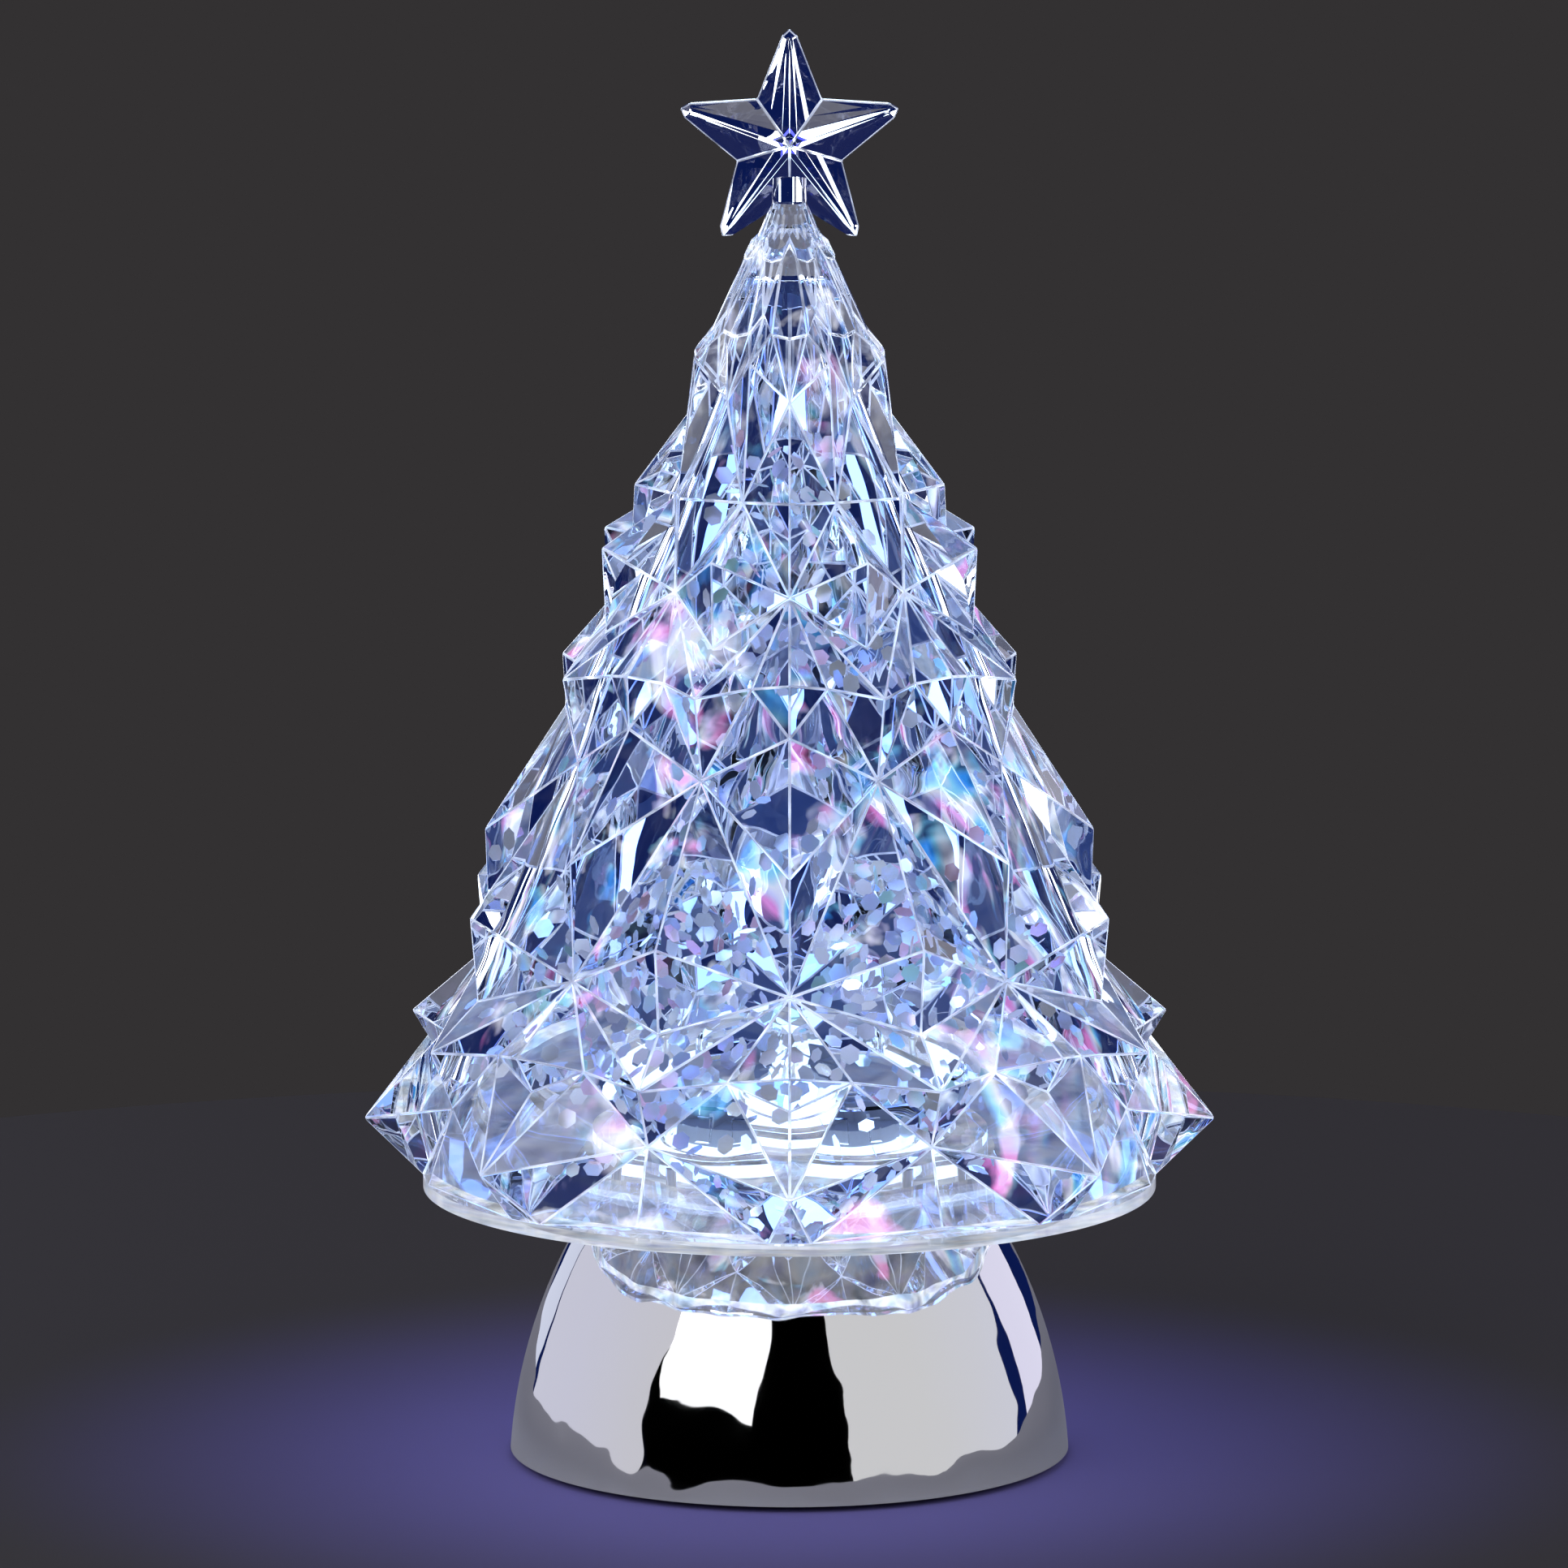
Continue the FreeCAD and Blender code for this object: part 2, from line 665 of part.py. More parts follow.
def make_impeller_set():
    finished(rod("ImpellerPin", "impeller_pin_radius", "impeller_pin_height",
                 z="floor_top - impeller_pin_sink"), "impeller_pin")
    disc = turned("ImpellerDisc", ring_section("impeller_pin_radius + running", "impeller_radius",
                                               "impeller_bottom", "disc_top"))
    hub = turned("ImpellerHub", ring_section("impeller_pin_radius + running", "impeller_boss_radius",
                                             "impeller_bottom", "blade_top"))
    blades = []
    for number in range(3):
        blades.append(spoke("Blade%d" % number, "2 * impeller_radius - 2 * blade_tip_gap", "blade_thickness",
                            "blade_height", "disc_top", 60 * number))
    body = joined("ImpellerBody", disc, hub, *blades)
    tools = [rod("ImpellerBore", "impeller_pin_radius + running", "tree_height")]
    magnets = []
    for side in (-1, 1):
        x = "%d * magnet_offset" % side
        tools.append(rod("ImpellerPocket%d" % (side + 1), "magnet_radius + running", "magnet_height",
                         x, "0", "impeller_bottom"))
        magnets.append(rod("ImpellerMagnet%d" % (side + 1), "magnet_radius", "magnet_height",
                           x, "0", "impeller_bottom"))
    finished(cut("Impeller", body, *tools), "impeller")
    finished(grouped("ImpellerMagnets", magnets), "impeller_magnets")


def make_impeller_cage():
    wall = turned("CageWall", [
        ("cage_radius - cage_wall", "floor_top"), ("cage_radius", "floor_top"),
        ("cage_radius", "cage_top"), ("impeller_boss_radius", "cage_top"),
        ("impeller_boss_radius", "cage_top - cage_wall"),
        ("cage_radius - cage_wall", "cage_top - cage_wall")])
    slots = []
    for number in range(6):
        slots.append(spoke("CageSlot%d" % number, "2 * cage_radius + cage_slot", "cage_slot", "cage_height / 2",
                           "floor_top + cage_height / 4", 30 * number))
    finished(cut("ImpellerCage", wall, *slots), "impeller_cage")


def make_filler_plug():
    plug = turned("FillerPlug", [
        ("0", "base_height - plug_flange"), ("plug_radius + plug_flange", "base_height - plug_flange"),
        ("plug_radius + plug_flange", "base_height"), ("plug_radius - running", "base_height"),
        ("plug_radius - running", "floor_top - easy"), ("0", "floor_top - easy")])
    x, y = round_place("plug_ring", 90)
    finished(place(plug, x, y), "filler_plug")


def make_base_dome():
    dome = turned("DomeShell", [
        ("base_radius", "foot_height", "dome_curve"), ("crown_radius", "base_height"),
        ("window_radius", "base_height"), ("window_radius", "crown_under"),
        ("crown_radius - dome_wall / 2", "crown_under", "dome_curve - dome_wall"),
        ("base_radius - dome_wall", "foot_height")])
    solids = [dome]
    holes = []
    for number in range(4):
        x, y = round_place("screw_ring", 90 * number)
        solids.append(rod("TrayBoss%d" % number, "boss_radius", "boss_drop + dome_wall / 2",
                          x, y, "boss_bottom"))
        holes.append(rod("TrayBossHole%d" % number, "screw_bore", "boss_drop + dome_wall / 2",
                         x, y, "boss_bottom"))
        x, y = round_place("screw_ring", 45 + 90 * number)
        holes.append(rod("TreeScrewHole%d" % number, "screw_bore", "dome_wall", x, y, "crown_under"))
        x, y = round_place("pillar_ring", PILLAR_ANGLES[number])
        solids.append(rod("Pillar%d" % number, "pillar_radius", "pillar_height", x, y, "underside_top"))
        holes.append(rod("PillarHole%d" % number, "screw_bore", "pillar_height - pillar_skin",
                         x, y, "underside_top"))
    finished(cut("BaseDome", joined("DomeWithBosses", *solids), *holes), "base_dome")


def make_screws():
    tray_screws = []
    tree_screws = []
    base_screws = []
    for number in range(4):
        x, y = round_place("screw_ring", 90 * number)
        tray_screws.append(screw("TrayScrew%d" % number, x, y, "boss_bottom - tray_floor",
                                 "tray_floor + boss_drop + dome_wall / 4"))
        x, y = round_place("screw_ring", 45 + 90 * number)
        tree_screws.append(screw("TreeScrew%d" % number, x, y, "crown_under",
                                 "dome_wall + floor_thickness + tree_screw_bite"))
        x, y = round_place("pillar_ring", PILLAR_ANGLES[number])
        base_screws.append(screw("BaseScrew%d" % number, x, y, "foot_height + easy + screw_head_height",
                                 "base_screw_length"))
    finished(grouped("TrayScrews", tray_screws), "tray_screws")
    finished(grouped("TreeScrews", tree_screws), "tree_screws")
    finished(grouped("BaseScrews", base_screws), "base_screws")


def screw(name, x, y, seat, length):
    """A screw driven upwards: its head hangs under the seat."""
    head = rod(name + "Head", "screw_head_radius", "screw_head_height", x, y, "%s - screw_head_height" % seat)
    shank = rod(name + "Shank", "screw_radius", length, x, y, seat)
    return joined(name, head, shank)


def make_light_tray():
    cup = turned("TrayCup", [
        ("motor_nose_radius + easy", "tray_bottom"), ("tray_radius", "tray_bottom"),
        ("tray_radius", "tray_top"), ("window_radius", "tray_top"),
        ("window_radius", "board_bottom"), ("window_radius - board_ledge", "board_bottom"),
        ("window_radius - board_ledge", "tray_bottom + tray_floor"),
        ("motor_nose_radius + easy", "tray_bottom + tray_floor")])
    ears = []
    holes = []
    for number in range(4):
        x, y = round_place("screw_ring", 90 * number)
        ears.append(rod("TrayEar%d" % number, "boss_radius + ear_rim", "tray_floor",
                        x, y, "boss_bottom - tray_floor"))
        holes.append(rod("TrayEarHole%d" % number, "screw_bore", "tray_floor",
                         x, y, "boss_bottom - tray_floor"))
    inside = rod("TrayInside", "window_radius", "tray_depth - board_stand", z="board_bottom")
    for side in (-1, 1):
        holes.append(rod("MotorScrewHole%d" % (side + 1), "small_screw_radius + running", "tray_floor",
                         "%d * motor_screw_ring" % side, "0", "tray_bottom"))
    finished(cut("LightTray", joined("TrayWithEars", cup, *ears), inside, *holes), "light_tray")


def make_light_window():
    finished(turned("LightWindow", ring_section("0", "tray_radius - easy", "tray_top",
                                                "tray_top + window_thickness")), "light_window")


def make_led_board():
    board = turned("LedBoard", ring_section("board_inner_radius", "board_outer", "board_bottom",
                                            "board_bottom + board_thickness"))
    finished(board, "led_board")
    for number in range(8):
        led = turned("Led%d" % number, [
            ("0", "0"), ("led_radius + led_flange", "0"), ("led_radius + led_flange", "led_flange_height"),
            ("led_radius", "led_flange_height"),
            ("led_radius", "led_height - led_radius / 2"),
            ("led_radius / 2", "led_height"), ("0", "led_height")])
        x, y = round_place("led_ring", 22.5 + 45 * number)
        finished(place(led, x, y, "board_bottom + board_thickness"), "led_%d" % (number + 1))


def make_motor():
    finished(turned("MotorCan", [
        ("motor_radius - motor_wall", "can_bottom"), ("motor_radius", "can_bottom"),
        ("motor_radius", "tray_bottom"), ("motor_nose_radius", "tray_bottom"),
        ("motor_nose_radius", "tray_bottom + motor_nose_height"),
        ("shaft_radius + running", "tray_bottom + motor_nose_height"),
        ("shaft_radius + running", "tray_bottom - motor_wall"),
        ("motor_radius - motor_wall", "tray_bottom - motor_wall")]), "motor_can")
    finished(turned("MotorEndCap", [
        ("0", "cap_bottom"), ("motor_radius", "cap_bottom"), ("motor_radius", "can_bottom"),
        ("motor_radius - motor_wall - running", "can_bottom"),
        ("motor_radius - motor_wall - running", "can_bottom + end_cap_spigot"),
        ("shaft_radius + running", "can_bottom + end_cap_spigot"),
        ("shaft_radius + running", "cap_bottom + shaft_pit"), ("0", "cap_bottom + shaft_pit")]),
        "motor_end_cap")
    finished(turned("MotorMagnet", ring_section(
        "motor_radius - motor_wall - running - motor_magnet_thickness",
        "motor_radius - motor_wall - running", "can_bottom + motor_magnet_stand",
        "tray_bottom - motor_wall")), "motor_magnet")
    finished(turned("MotorArmature", [
        ("shaft_radius", "can_bottom + armature_gap"), ("shaft_radius + hub_wall", "can_bottom + armature_gap"),
        ("shaft_radius + hub_wall", "can_bottom + armature_stand"),
        ("armature_radius", "can_bottom + armature_stand"),
        ("armature_radius", "tray_bottom - motor_wall - armature_gap"),
        ("shaft_radius", "tray_bottom - motor_wall - armature_gap")]), "motor_armature")
    finished(rod("MotorShaft", "shaft_radius", "shaft_top - cap_bottom - shaft_pit - moving_gap",
                 z="cap_bottom + shaft_pit + moving_gap"), "motor_shaft")
    screws = []
    for side in (-1, 1):
        x = "%d * motor_screw_ring" % side
        head = rod("MotorScrewHead%d" % (side + 1), "small_screw_radius + small_screw_rim",
                   "small_screw_head_height", x, "0", "tray_bottom + tray_floor")
        shank = rod("MotorScrewShank%d" % (side + 1), "small_screw_radius", "tray_floor", x, "0", "tray_bottom")
        screws.append(joined("MotorScrew%d" % (side + 1), head, shank))
    finished(grouped("MotorScrews", screws), "motor_screws")


def make_magnet_carrier():
    carrier = turned("CarrierDisc", [
        ("shaft_radius", "carrier_bottom - carrier_hub_height"),
        ("shaft_radius + hub_wall", "carrier_bottom - carrier_hub_height"),
        ("shaft_radius + hub_wall", "carrier_bottom"), ("carrier_radius", "carrier_bottom"),
        ("carrier_radius", "carrier_top"), ("0", "carrier_top"), ("0", "shaft_top"),
        ("shaft_radius", "shaft_top")])
    pockets = []
    magnets = []
    for side in (-1, 1):
        x = "%d * magnet_offset" % side
        pockets.append(rod("CarrierPocket%d" % (side + 1), "magnet_radius + running", "magnet_height",
                           x, "0", "carrier_top - magnet_height"))
        magnets.append(rod("DriveMagnet%d" % (side + 1), "magnet_radius", "magnet_height",
                           x, "0", "carrier_top - magnet_height"))
    finished(cut("MagnetCarrier", carrier, *pockets), "magnet_carrier")
    finished(grouped("DriveMagnets", magnets), "drive_magnets")


def make_base_plate():
    disc = turned("PlateDisc", ring_section("0", "underside_radius", "foot_height", "underside_top"))
    flange = block("BayFlange", "door_length + 4 * door_gap + 2 * bay_wall", "flange_width", "bay_wall",
                   z="underside_top")
    bay = block("BayBox", "bay_length + 2 * bay_wall", "bay_width + 2 * bay_wall",
                "bay_roof + bay_wall - underside_top", z="underside_top")
    tools = [
        block("BaySpace", "bay_length", "bay_width", "bay_roof", z="0"),
        block("DoorOpening", "door_length + 2 * door_gap", "door_width + 2 * door_gap",
              "underside_thickness", z="foot_height"),
        block("LatchNotch", "door_ledge + door_gap", "latch_width + 4 * door_gap",
              "latch_height + latch_slack",
              "(bay_length + door_ledge + door_gap) / 2", "0", "underside_top"),
        lying_rod("PegHoles", "door_peg_radius + running", "door_width + 2 * door_peg_length + 4 * door_gap",
                  "-door_axis_x", "-door_width / 2 - door_peg_length - 2 * door_gap", "door_axis_z", "Y"),
        block("KnobSlot", "knob_length + knob_travel + 4 * door_gap", "knob_width + 2 * door_gap",
              "underside_thickness", "0", "switch_offset", "foot_height"),
    ]
    for number in range(4):
        x, y = round_place("pillar_ring", PILLAR_ANGLES[number])
        tools.append(rod("PlateScrewHole%d" % number, "screw_bore", "underside_thickness", x, y, "foot_height"))
        tools.append(rod("PlateCounterbore%d" % number, "screw_head_radius + easy",
                         "easy + screw_head_height", x, y, "foot_height"))
        tools.append(rod("PillarRelief%d" % number, "pillar_radius + easy",
                         "bay_roof + bay_wall - underside_top", x, y, "underside_top"))
    finished(cut("BasePlate", joined("PlateWithBay", disc, flange, bay), *tools), "base_plate")


def make_battery_door():
    panel = block("DoorPanel", "door_length - door_thickness / 2", "door_width", "door_thickness",
                  "door_thickness / 4", "0", "foot_height + easy")
    edge = lying_rod("DoorEdge", "door_thickness / 2", "door_width", "-door_axis_x", "-door_width / 2",
                     "door_axis_z", "Y")
    pegs = lying_rod("DoorPegs", "door_peg_radius", "door_width + 2 * door_peg_length", "-door_axis_x",
                     "-door_width / 2 - door_peg_length", "door_axis_z", "Y")
    latch = block("DoorLatch", "latch_thickness", "latch_width", "latch_height",
                  "door_length / 2 - latch_thickness / 2 - door_gap", "0", "door_top")
    finished(joined("BatteryDoor", panel, edge, pegs, latch), "battery_door")


def make_cells():
    springs = []
    plates = []
    for number in range(3):
        y = "%d * cell_pitch" % (number - 1)
        side = 1 if number % 2 == 0 else -1
        body_length = "cell_length - cell_nub_length"
        near = "-bay_length / 2 + contact_thickness"
        body_start = near + " + spring_space" if side == 1 else near + " + cell_nub_length"
        nub_start = near + " + spring_space + " + body_length if side == 1 else near
        body = lying_rod("CellCan%d" % number, "cell_radius", body_length, body_start, y, "cell_axis", "X")
        nub = lying_rod("CellNub%d" % number, "cell_nub_radius", "cell_nub_length", nub_start, y,
                        "cell_axis", "X")
        finished(joined("Cell%d" % number, body, nub), "battery_cell_%d" % (number + 1))
        springs.append(contact_spring(number, side))
    middle = "cell_pitch / 2"
    wide = "cell_pitch + contact_width"
    for side in (-1, 1):
        x = "%d * (bay_length - contact_thickness) / 2" % side
        spans = ((wide, "%d * " % side + middle), ("contact_width", "%d * cell_pitch" % -side))
        for number, (width, y) in enumerate(spans):
            plates.append(block("Contact%d%d" % (side + 1, number), "contact_thickness", width,
                                "contact_width", x, y, "cell_axis - contact_width / 2"))
    finished(grouped("ContactPlates", plates), "contact_plates")
    finished(shaped("ContactSprings", Part.Compound(springs)), "contact_springs")


def contact_spring(number, side):
    """A coil spring from the contact plate to a cell's flat end, wound along X."""
    wire = size("spring_wire") / 2
    slack = size("running")
    length = size("spring_space") - 2 * (wire + slack)
    start = -size("bay_length") / 2 + size("contact_thickness") + wire + slack
    middle = (number - 1) * size("cell_pitch")
    axis = size("cell_axis")
    steps = 8 * SPRING_TURNS
    points = []
    for step in range(steps + 1):
        angle = 2 * math.pi * step / 8
        across = size("spring_radius") * math.cos(angle)
        up = size("spring_radius") * math.sin(angle)
        points.append(FreeCAD.Vector(side * (start + length * step / steps), middle + across, axis + up))
    return round_wire(points, wire)


def make_switch():
    body = block("SwitchBox", "switch_length", "switch_width", "switch_height", "0", "switch_offset",
                 "underside_top")
    space = block("SwitchSpace", "knob_length + knob_travel + 4 * door_gap", "knob_width + 2 * door_gap",
                  "switch_height - switch_cap", "0", "switch_offset", "underside_top")
    finished(cut("SwitchBody", body, space), "switch_body")
    finished(block("SwitchKnob", "knob_length", "knob_width", "knob_height", "-knob_travel / 2",
                   "switch_offset", "foot_height + moving_gap"), "switch_knob")


def make_feet():
    for number in range(4):
        x, y = round_place("foot_ring", 90 * number)
        finished(rod("Foot%d" % number, "foot_radius", "foot_height", x, y, "0"), "foot_%d" % (number + 1))


def round_wire(points, wire_radius):
    """A round wire or lead along straight runs joined by tangent arcs."""
    turns = []
    radii = []
    for before, here, after in zip(points, points[1:], points[2:]):
        first = here - before
        second = after - here
        half_turn = first.getAngle(second) / 2
        setback = 0.45 * min(first.Length, second.Length)
        radius = setback / math.tan(half_turn)
        start = here - first.normalize() * setback
        end = here + second.normalize() * setback
        inward = (end + start - here * 2).normalize()
        middle = here + inward * (radius / math.cos(half_turn) - radius)
        turns.append((start, middle, end))
        radii.append(radius)
    edges = []
    last = points[0]
    for start, middle, end in turns:
        edges.append(Part.LineSegment(last, start).toShape())
        edges.append(Part.Arc(start, middle, end).toShape())
        last = end
    edges.append(Part.LineSegment(last, points[-1]).toShape())
    print("smallest bend %.1f mm in a wire of %.1f mm" % (min(radii), 2 * wire_radius))
    path = Part.Wire(edges)
    section = Part.Wire(Part.makeCircle(wire_radius, points[0], points[1] - points[0]))
    return path.makePipeShell([section], True, True)


# Where each pair of leads bends, in mm: (x, y) at its foot, above the foot, below the tray, at the tray.
# The first pair is measured from the switch, the second from the middle.
SWITCH_LEAD = ((3, 0), (3, 1), (7, -9), (8, -11))
BATTERY_LEAD = ((22, -9), (22.5, -9.5), (19, -13), (18.5, -13.5))


def lead_route(route, foot, tail, shift):
    """A lead's points from its foot up to the tray, with straight tails at both ends."""
    tray = size("tray_bottom")
    heights = (foot, foot + tail, tray - tail, tray)
    return [FreeCAD.Vector(x + shift[0], y + shift[1], z) for (x, y), z in zip(route, heights)]


def make_leads():
    spacing = size("lead_spacing")
    radius = size("lead_radius")
    for number, colour in enumerate(("red", "black")):
        route = lead_route(SWITCH_LEAD, size("switch_roof"), size("lead_tail"),
                           (spacing * number, size("switch_offset")))
        finished(shaped("SwitchLead%d" % number, round_wire(route, radius)), "switch_lead_%s" % colour)
        route = lead_route(BATTERY_LEAD, size("bay_roof + bay_wall"), size("bay_lead_tail"),
                           (0, spacing * number))
        finished(shaped("BatteryLead%d" % number, round_wire(route, radius)), "battery_lead_%s" % colour)


def write_out():
    document.recompute()
    for item in document.Objects:
        if "Invalid" in item.State or "Error" in item.State:
            raise RuntimeError("%s failed: %s" % (item.Label, item.State))
    os.makedirs("parts", exist_ok=True)
    for piece in sub_parts:
        if piece.Shape.isNull() or not piece.Shape.isValid() or not piece.Shape.Solids:
            raise RuntimeError("%s has no valid solid" % piece.Label)
    for piece in sub_parts:
        piece.Shape.exportStep("parts/%s.step" % piece.Label)
        print("%-22s %d solid(s) %10.1f mm3" % (piece.Label, len(piece.Shape.Solids), piece.Shape.Volume))


make_tree_shell()
make_chamber_floor()
make_star_topper()
make_liquid()
make_impeller_set()
make_impeller_cage()
make_filler_plug()
make_base_dome()
make_light_tray()
make_light_window()
make_led_board()
make_motor()
make_magnet_carrier()
make_base_plate()
make_battery_door()
make_cells()
make_switch()
make_screws()
make_feet()
make_leads()
write_out()
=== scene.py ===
# %% [markdown]
# # A lighted tree water lantern
# This notebook dresses a finished model of a table lantern: a clear acrylic fir tree cut in eight-fold
# facets, full of liquid and drifting glitter flakes, with a clear star on top and a silver-plated dome
# underneath. Whatever has to fit takes its size and place from the loaded frame. Each cell either gives
# loaded parts their real finish, or builds a piece that only shows, such as the flakes.

# %% Load the frame
import bpy
import bmesh
import math
import random
from mathutils import Matrix, Vector
from mathutils.bvhtree import BVHTree


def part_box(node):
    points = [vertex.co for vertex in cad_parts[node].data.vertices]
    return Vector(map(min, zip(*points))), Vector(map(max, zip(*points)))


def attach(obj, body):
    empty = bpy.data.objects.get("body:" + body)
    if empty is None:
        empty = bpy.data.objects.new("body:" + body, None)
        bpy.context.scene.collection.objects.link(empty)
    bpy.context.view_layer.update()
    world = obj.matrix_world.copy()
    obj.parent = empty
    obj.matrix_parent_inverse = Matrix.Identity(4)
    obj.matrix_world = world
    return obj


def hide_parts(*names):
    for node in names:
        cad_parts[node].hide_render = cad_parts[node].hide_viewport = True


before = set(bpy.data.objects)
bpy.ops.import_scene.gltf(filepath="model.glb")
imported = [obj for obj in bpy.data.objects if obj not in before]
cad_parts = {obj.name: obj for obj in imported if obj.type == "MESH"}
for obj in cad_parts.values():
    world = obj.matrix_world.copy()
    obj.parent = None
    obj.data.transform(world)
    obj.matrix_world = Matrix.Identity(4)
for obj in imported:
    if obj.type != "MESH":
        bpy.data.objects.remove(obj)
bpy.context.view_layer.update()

MM = 0.001
random.seed(24)
print("parts in the frame:", len(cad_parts))

# %% [markdown]
# ## Camera
# A long lens a few steps away keeps the sides of a small object nearly parallel. The camera looks
# slightly down, which shows the round rim under the tree as a thin ellipse. It is placed by an aim
# point, a distance and an angle, because those are what one sets on a real stand.

# %% Place the camera
LENS = 240.0
SENSOR_WIDTH = 36.0
CAMERA_DISTANCE = 2.083
CAMERA_PITCH = math.radians(9.05)
AIM = Vector((-1.1 * MM, 0.0, 135.8 * MM))

camera_data = bpy.data.cameras.new("camera")
camera_data.lens = LENS
camera_data.sensor_width = SENSOR_WIDTH
camera = bpy.data.objects.new("camera", camera_data)
bpy.context.scene.collection.objects.link(camera)
sight = Vector((0.0, math.cos(CAMERA_PITCH), -math.sin(CAMERA_PITCH)))
camera.location = AIM - sight * CAMERA_DISTANCE
camera.rotation_euler = sight.to_track_quat("-Z", "Y").to_euler()
bpy.context.scene.camera = camera
print("camera stands at", [round(value, 3) for value in camera.location])

# %% [markdown]
# ## Two small helpers for materials
# Colours are easiest to pick as the hex values of a colour chart, but shaders count in linear light, so
# one function turns one into the other. Materials are built from nodes: one function adds a node, sets
# it and wires it, which keeps each recipe below short enough to read.

# %% Material helpers
def linear(hex_colour):
    """An sRGB hex colour as a linear RGBA tuple."""
    channels = [int(hex_colour[place:place + 2], 16) / 255 for place in (1, 3, 5)]
    return tuple(value / 12.92 if value <= 0.04045 else ((value + 0.055) / 1.055) ** 2.4
                 for value in channels) + (1.0,)


def add_node(tree, kind, settings=None, links=None):
    """Add a node. Settings name its inputs or its own properties; links give input: (node, output)."""
    item = tree.nodes.new(kind)
    for name, value in (settings or {}).items():
        if isinstance(name, int) or name in item.inputs:
            item.inputs[name].default_value = value
        else:
            setattr(item, name, value)
    for name, (source, output) in (links or {}).items():
        tree.links.new(source.outputs[output], item.inputs[name])
    return item


def new_material(name, **sockets):
    """A material with its Principled shader set; gives the material, its node tree and the shader."""
    material = bpy.data.materials.new(name)
    material.use_nodes = True
    shader = material.node_tree.nodes["Principled BSDF"]
    for socket, value in sockets.items():
        shader.inputs[socket.replace("_", " ")].default_value = value
    return material, material.node_tree, shader


def finish(material, *nodes):
    """Give loaded parts their real finish."""
    for node in nodes:
        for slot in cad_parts[node].material_slots:
            slot.material = material
    print(material.name, "on", ", ".join(nodes))


# %% [markdown]
# ## Table, room and soft boxes
# Clear and plated things have no colour of their own: they show the room. So the room is the first
# finish. Clear pieces are lit dark-field, as glassware is: the view straight past the piece is dark,
# and bright soft boxes stand just outside it. Every facet bends the sight line by its own angle, so one
# facet finds a soft box and turns white, and the next finds the room and turns navy.
#
# The plated dome wants the opposite: two wide boxes at its sides, with a gap between them where the
# camera stands, draw its pale flanks and its black middle, and the key box puts a white panel in the
# gap. On the facets those wide boxes would lie as a grey veil. So there are two sets of boxes, and light
# linking tells each box which pieces it lights.
#
# The table top is a round of matt paper. The camera sees a painted violet glow on it under the lantern
# and painted shade further out, where it goes dark. Seen in the plating and through the facets it is one
# plain pale grey, as a studio table is.

# %% Lay the table
TABLE_RADIUS = 0.4
# A painted violet glow under the lantern fades to painted shade between these radii; only the camera sees it.
PAINTED_GLOW_RADIUS = 0.05
PAINTED_DIM_RADIUS = 0.18
PAINTED_GLOW_PAPER = "#7a73b8"
PAINTED_DIM_PAPER = "#535051"
REFLECTED_PAPER = "#bbbabf"
PAPER_GRAIN = 1.2 * MM


def paper_with_painted_glow():
    """Matt paper: no gloss, a fine grain, and for the camera a painted violet glow under the lantern that
    fades to painted shade away from it.
    """
    material, tree, shader = new_material("paper_with_painted_glow", Roughness=0.9, Specular_IOR_Level=0.1)
    place = add_node(tree, "ShaderNodeTexCoord")
    out = add_node(tree, "ShaderNodeVectorMath", {"operation": "LENGTH"}, {"Vector": (place, "Object")})
    painted_falloff = add_node(tree, "ShaderNodeMapRange",
                    {"From Min": PAINTED_GLOW_RADIUS, "From Max": PAINTED_DIM_RADIUS, "interpolation_type": "SMOOTHSTEP"},
                    {"Value": (out, "Value")})
    colour = add_node(tree, "ShaderNodeMix",
                      {"data_type": "RGBA", 6: linear(PAINTED_GLOW_PAPER), 7: linear(PAINTED_DIM_PAPER)},
                      {"Factor": (painted_falloff, "Result")})
    # The camera sees the painted glow and shade; reflections see the plain pale grey.
    path = add_node(tree, "ShaderNodeLightPath")
    seen = add_node(tree, "ShaderNodeMix", {"data_type": "RGBA", 6: linear(REFLECTED_PAPER)},
                    {"Factor": (path, "Is Camera Ray")})
    tree.links.new(colour.outputs[2], seen.inputs[7])
    tree.links.new(seen.outputs[2], shader.inputs["Base Color"])
    grain = add_node(tree, "ShaderNodeTexNoise", {"Scale": 1 / PAPER_GRAIN, "Detail": 3.0},
                     {"Vector": (place, "Object")})
    bump = add_node(tree, "ShaderNodeBump", {"Strength": 0.1, "Distance": 0.1 * MM},
                    {"Height": (grain, "Fac")})
    tree.links.new(bump.outputs["Normal"], shader.inputs["Normal"])
    return material


table_shape = bmesh.new()
bmesh.ops.create_circle(table_shape, cap_ends=True, segments=96, radius=TABLE_RADIUS)
table_mesh = bpy.data.meshes.new("table_top")
table_shape.to_mesh(table_mesh)
table_shape.free()
table_mesh.materials.append(paper_with_painted_glow())
table_top = bpy.data.objects.new("table_top", table_mesh)
bpy.context.scene.collection.objects.link(table_top)
print("table top radius", TABLE_RADIUS, "m")

# %% Hang the soft boxes
AIM_HEIGHT = 0.12
CLEAR_PARTS = ("chamber_floor", "liquid", "impeller_cage", "impeller")

# The pieces that each set of soft boxes lights
LIT = {name: bpy.data.collections.new("lit_" + name) for name in ("clear", "plain")}
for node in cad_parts:
    LIT["clear" if node in CLEAR_PARTS else "plain"].objects.link(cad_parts[node])
LIT["plain"].objects.link(table_top)


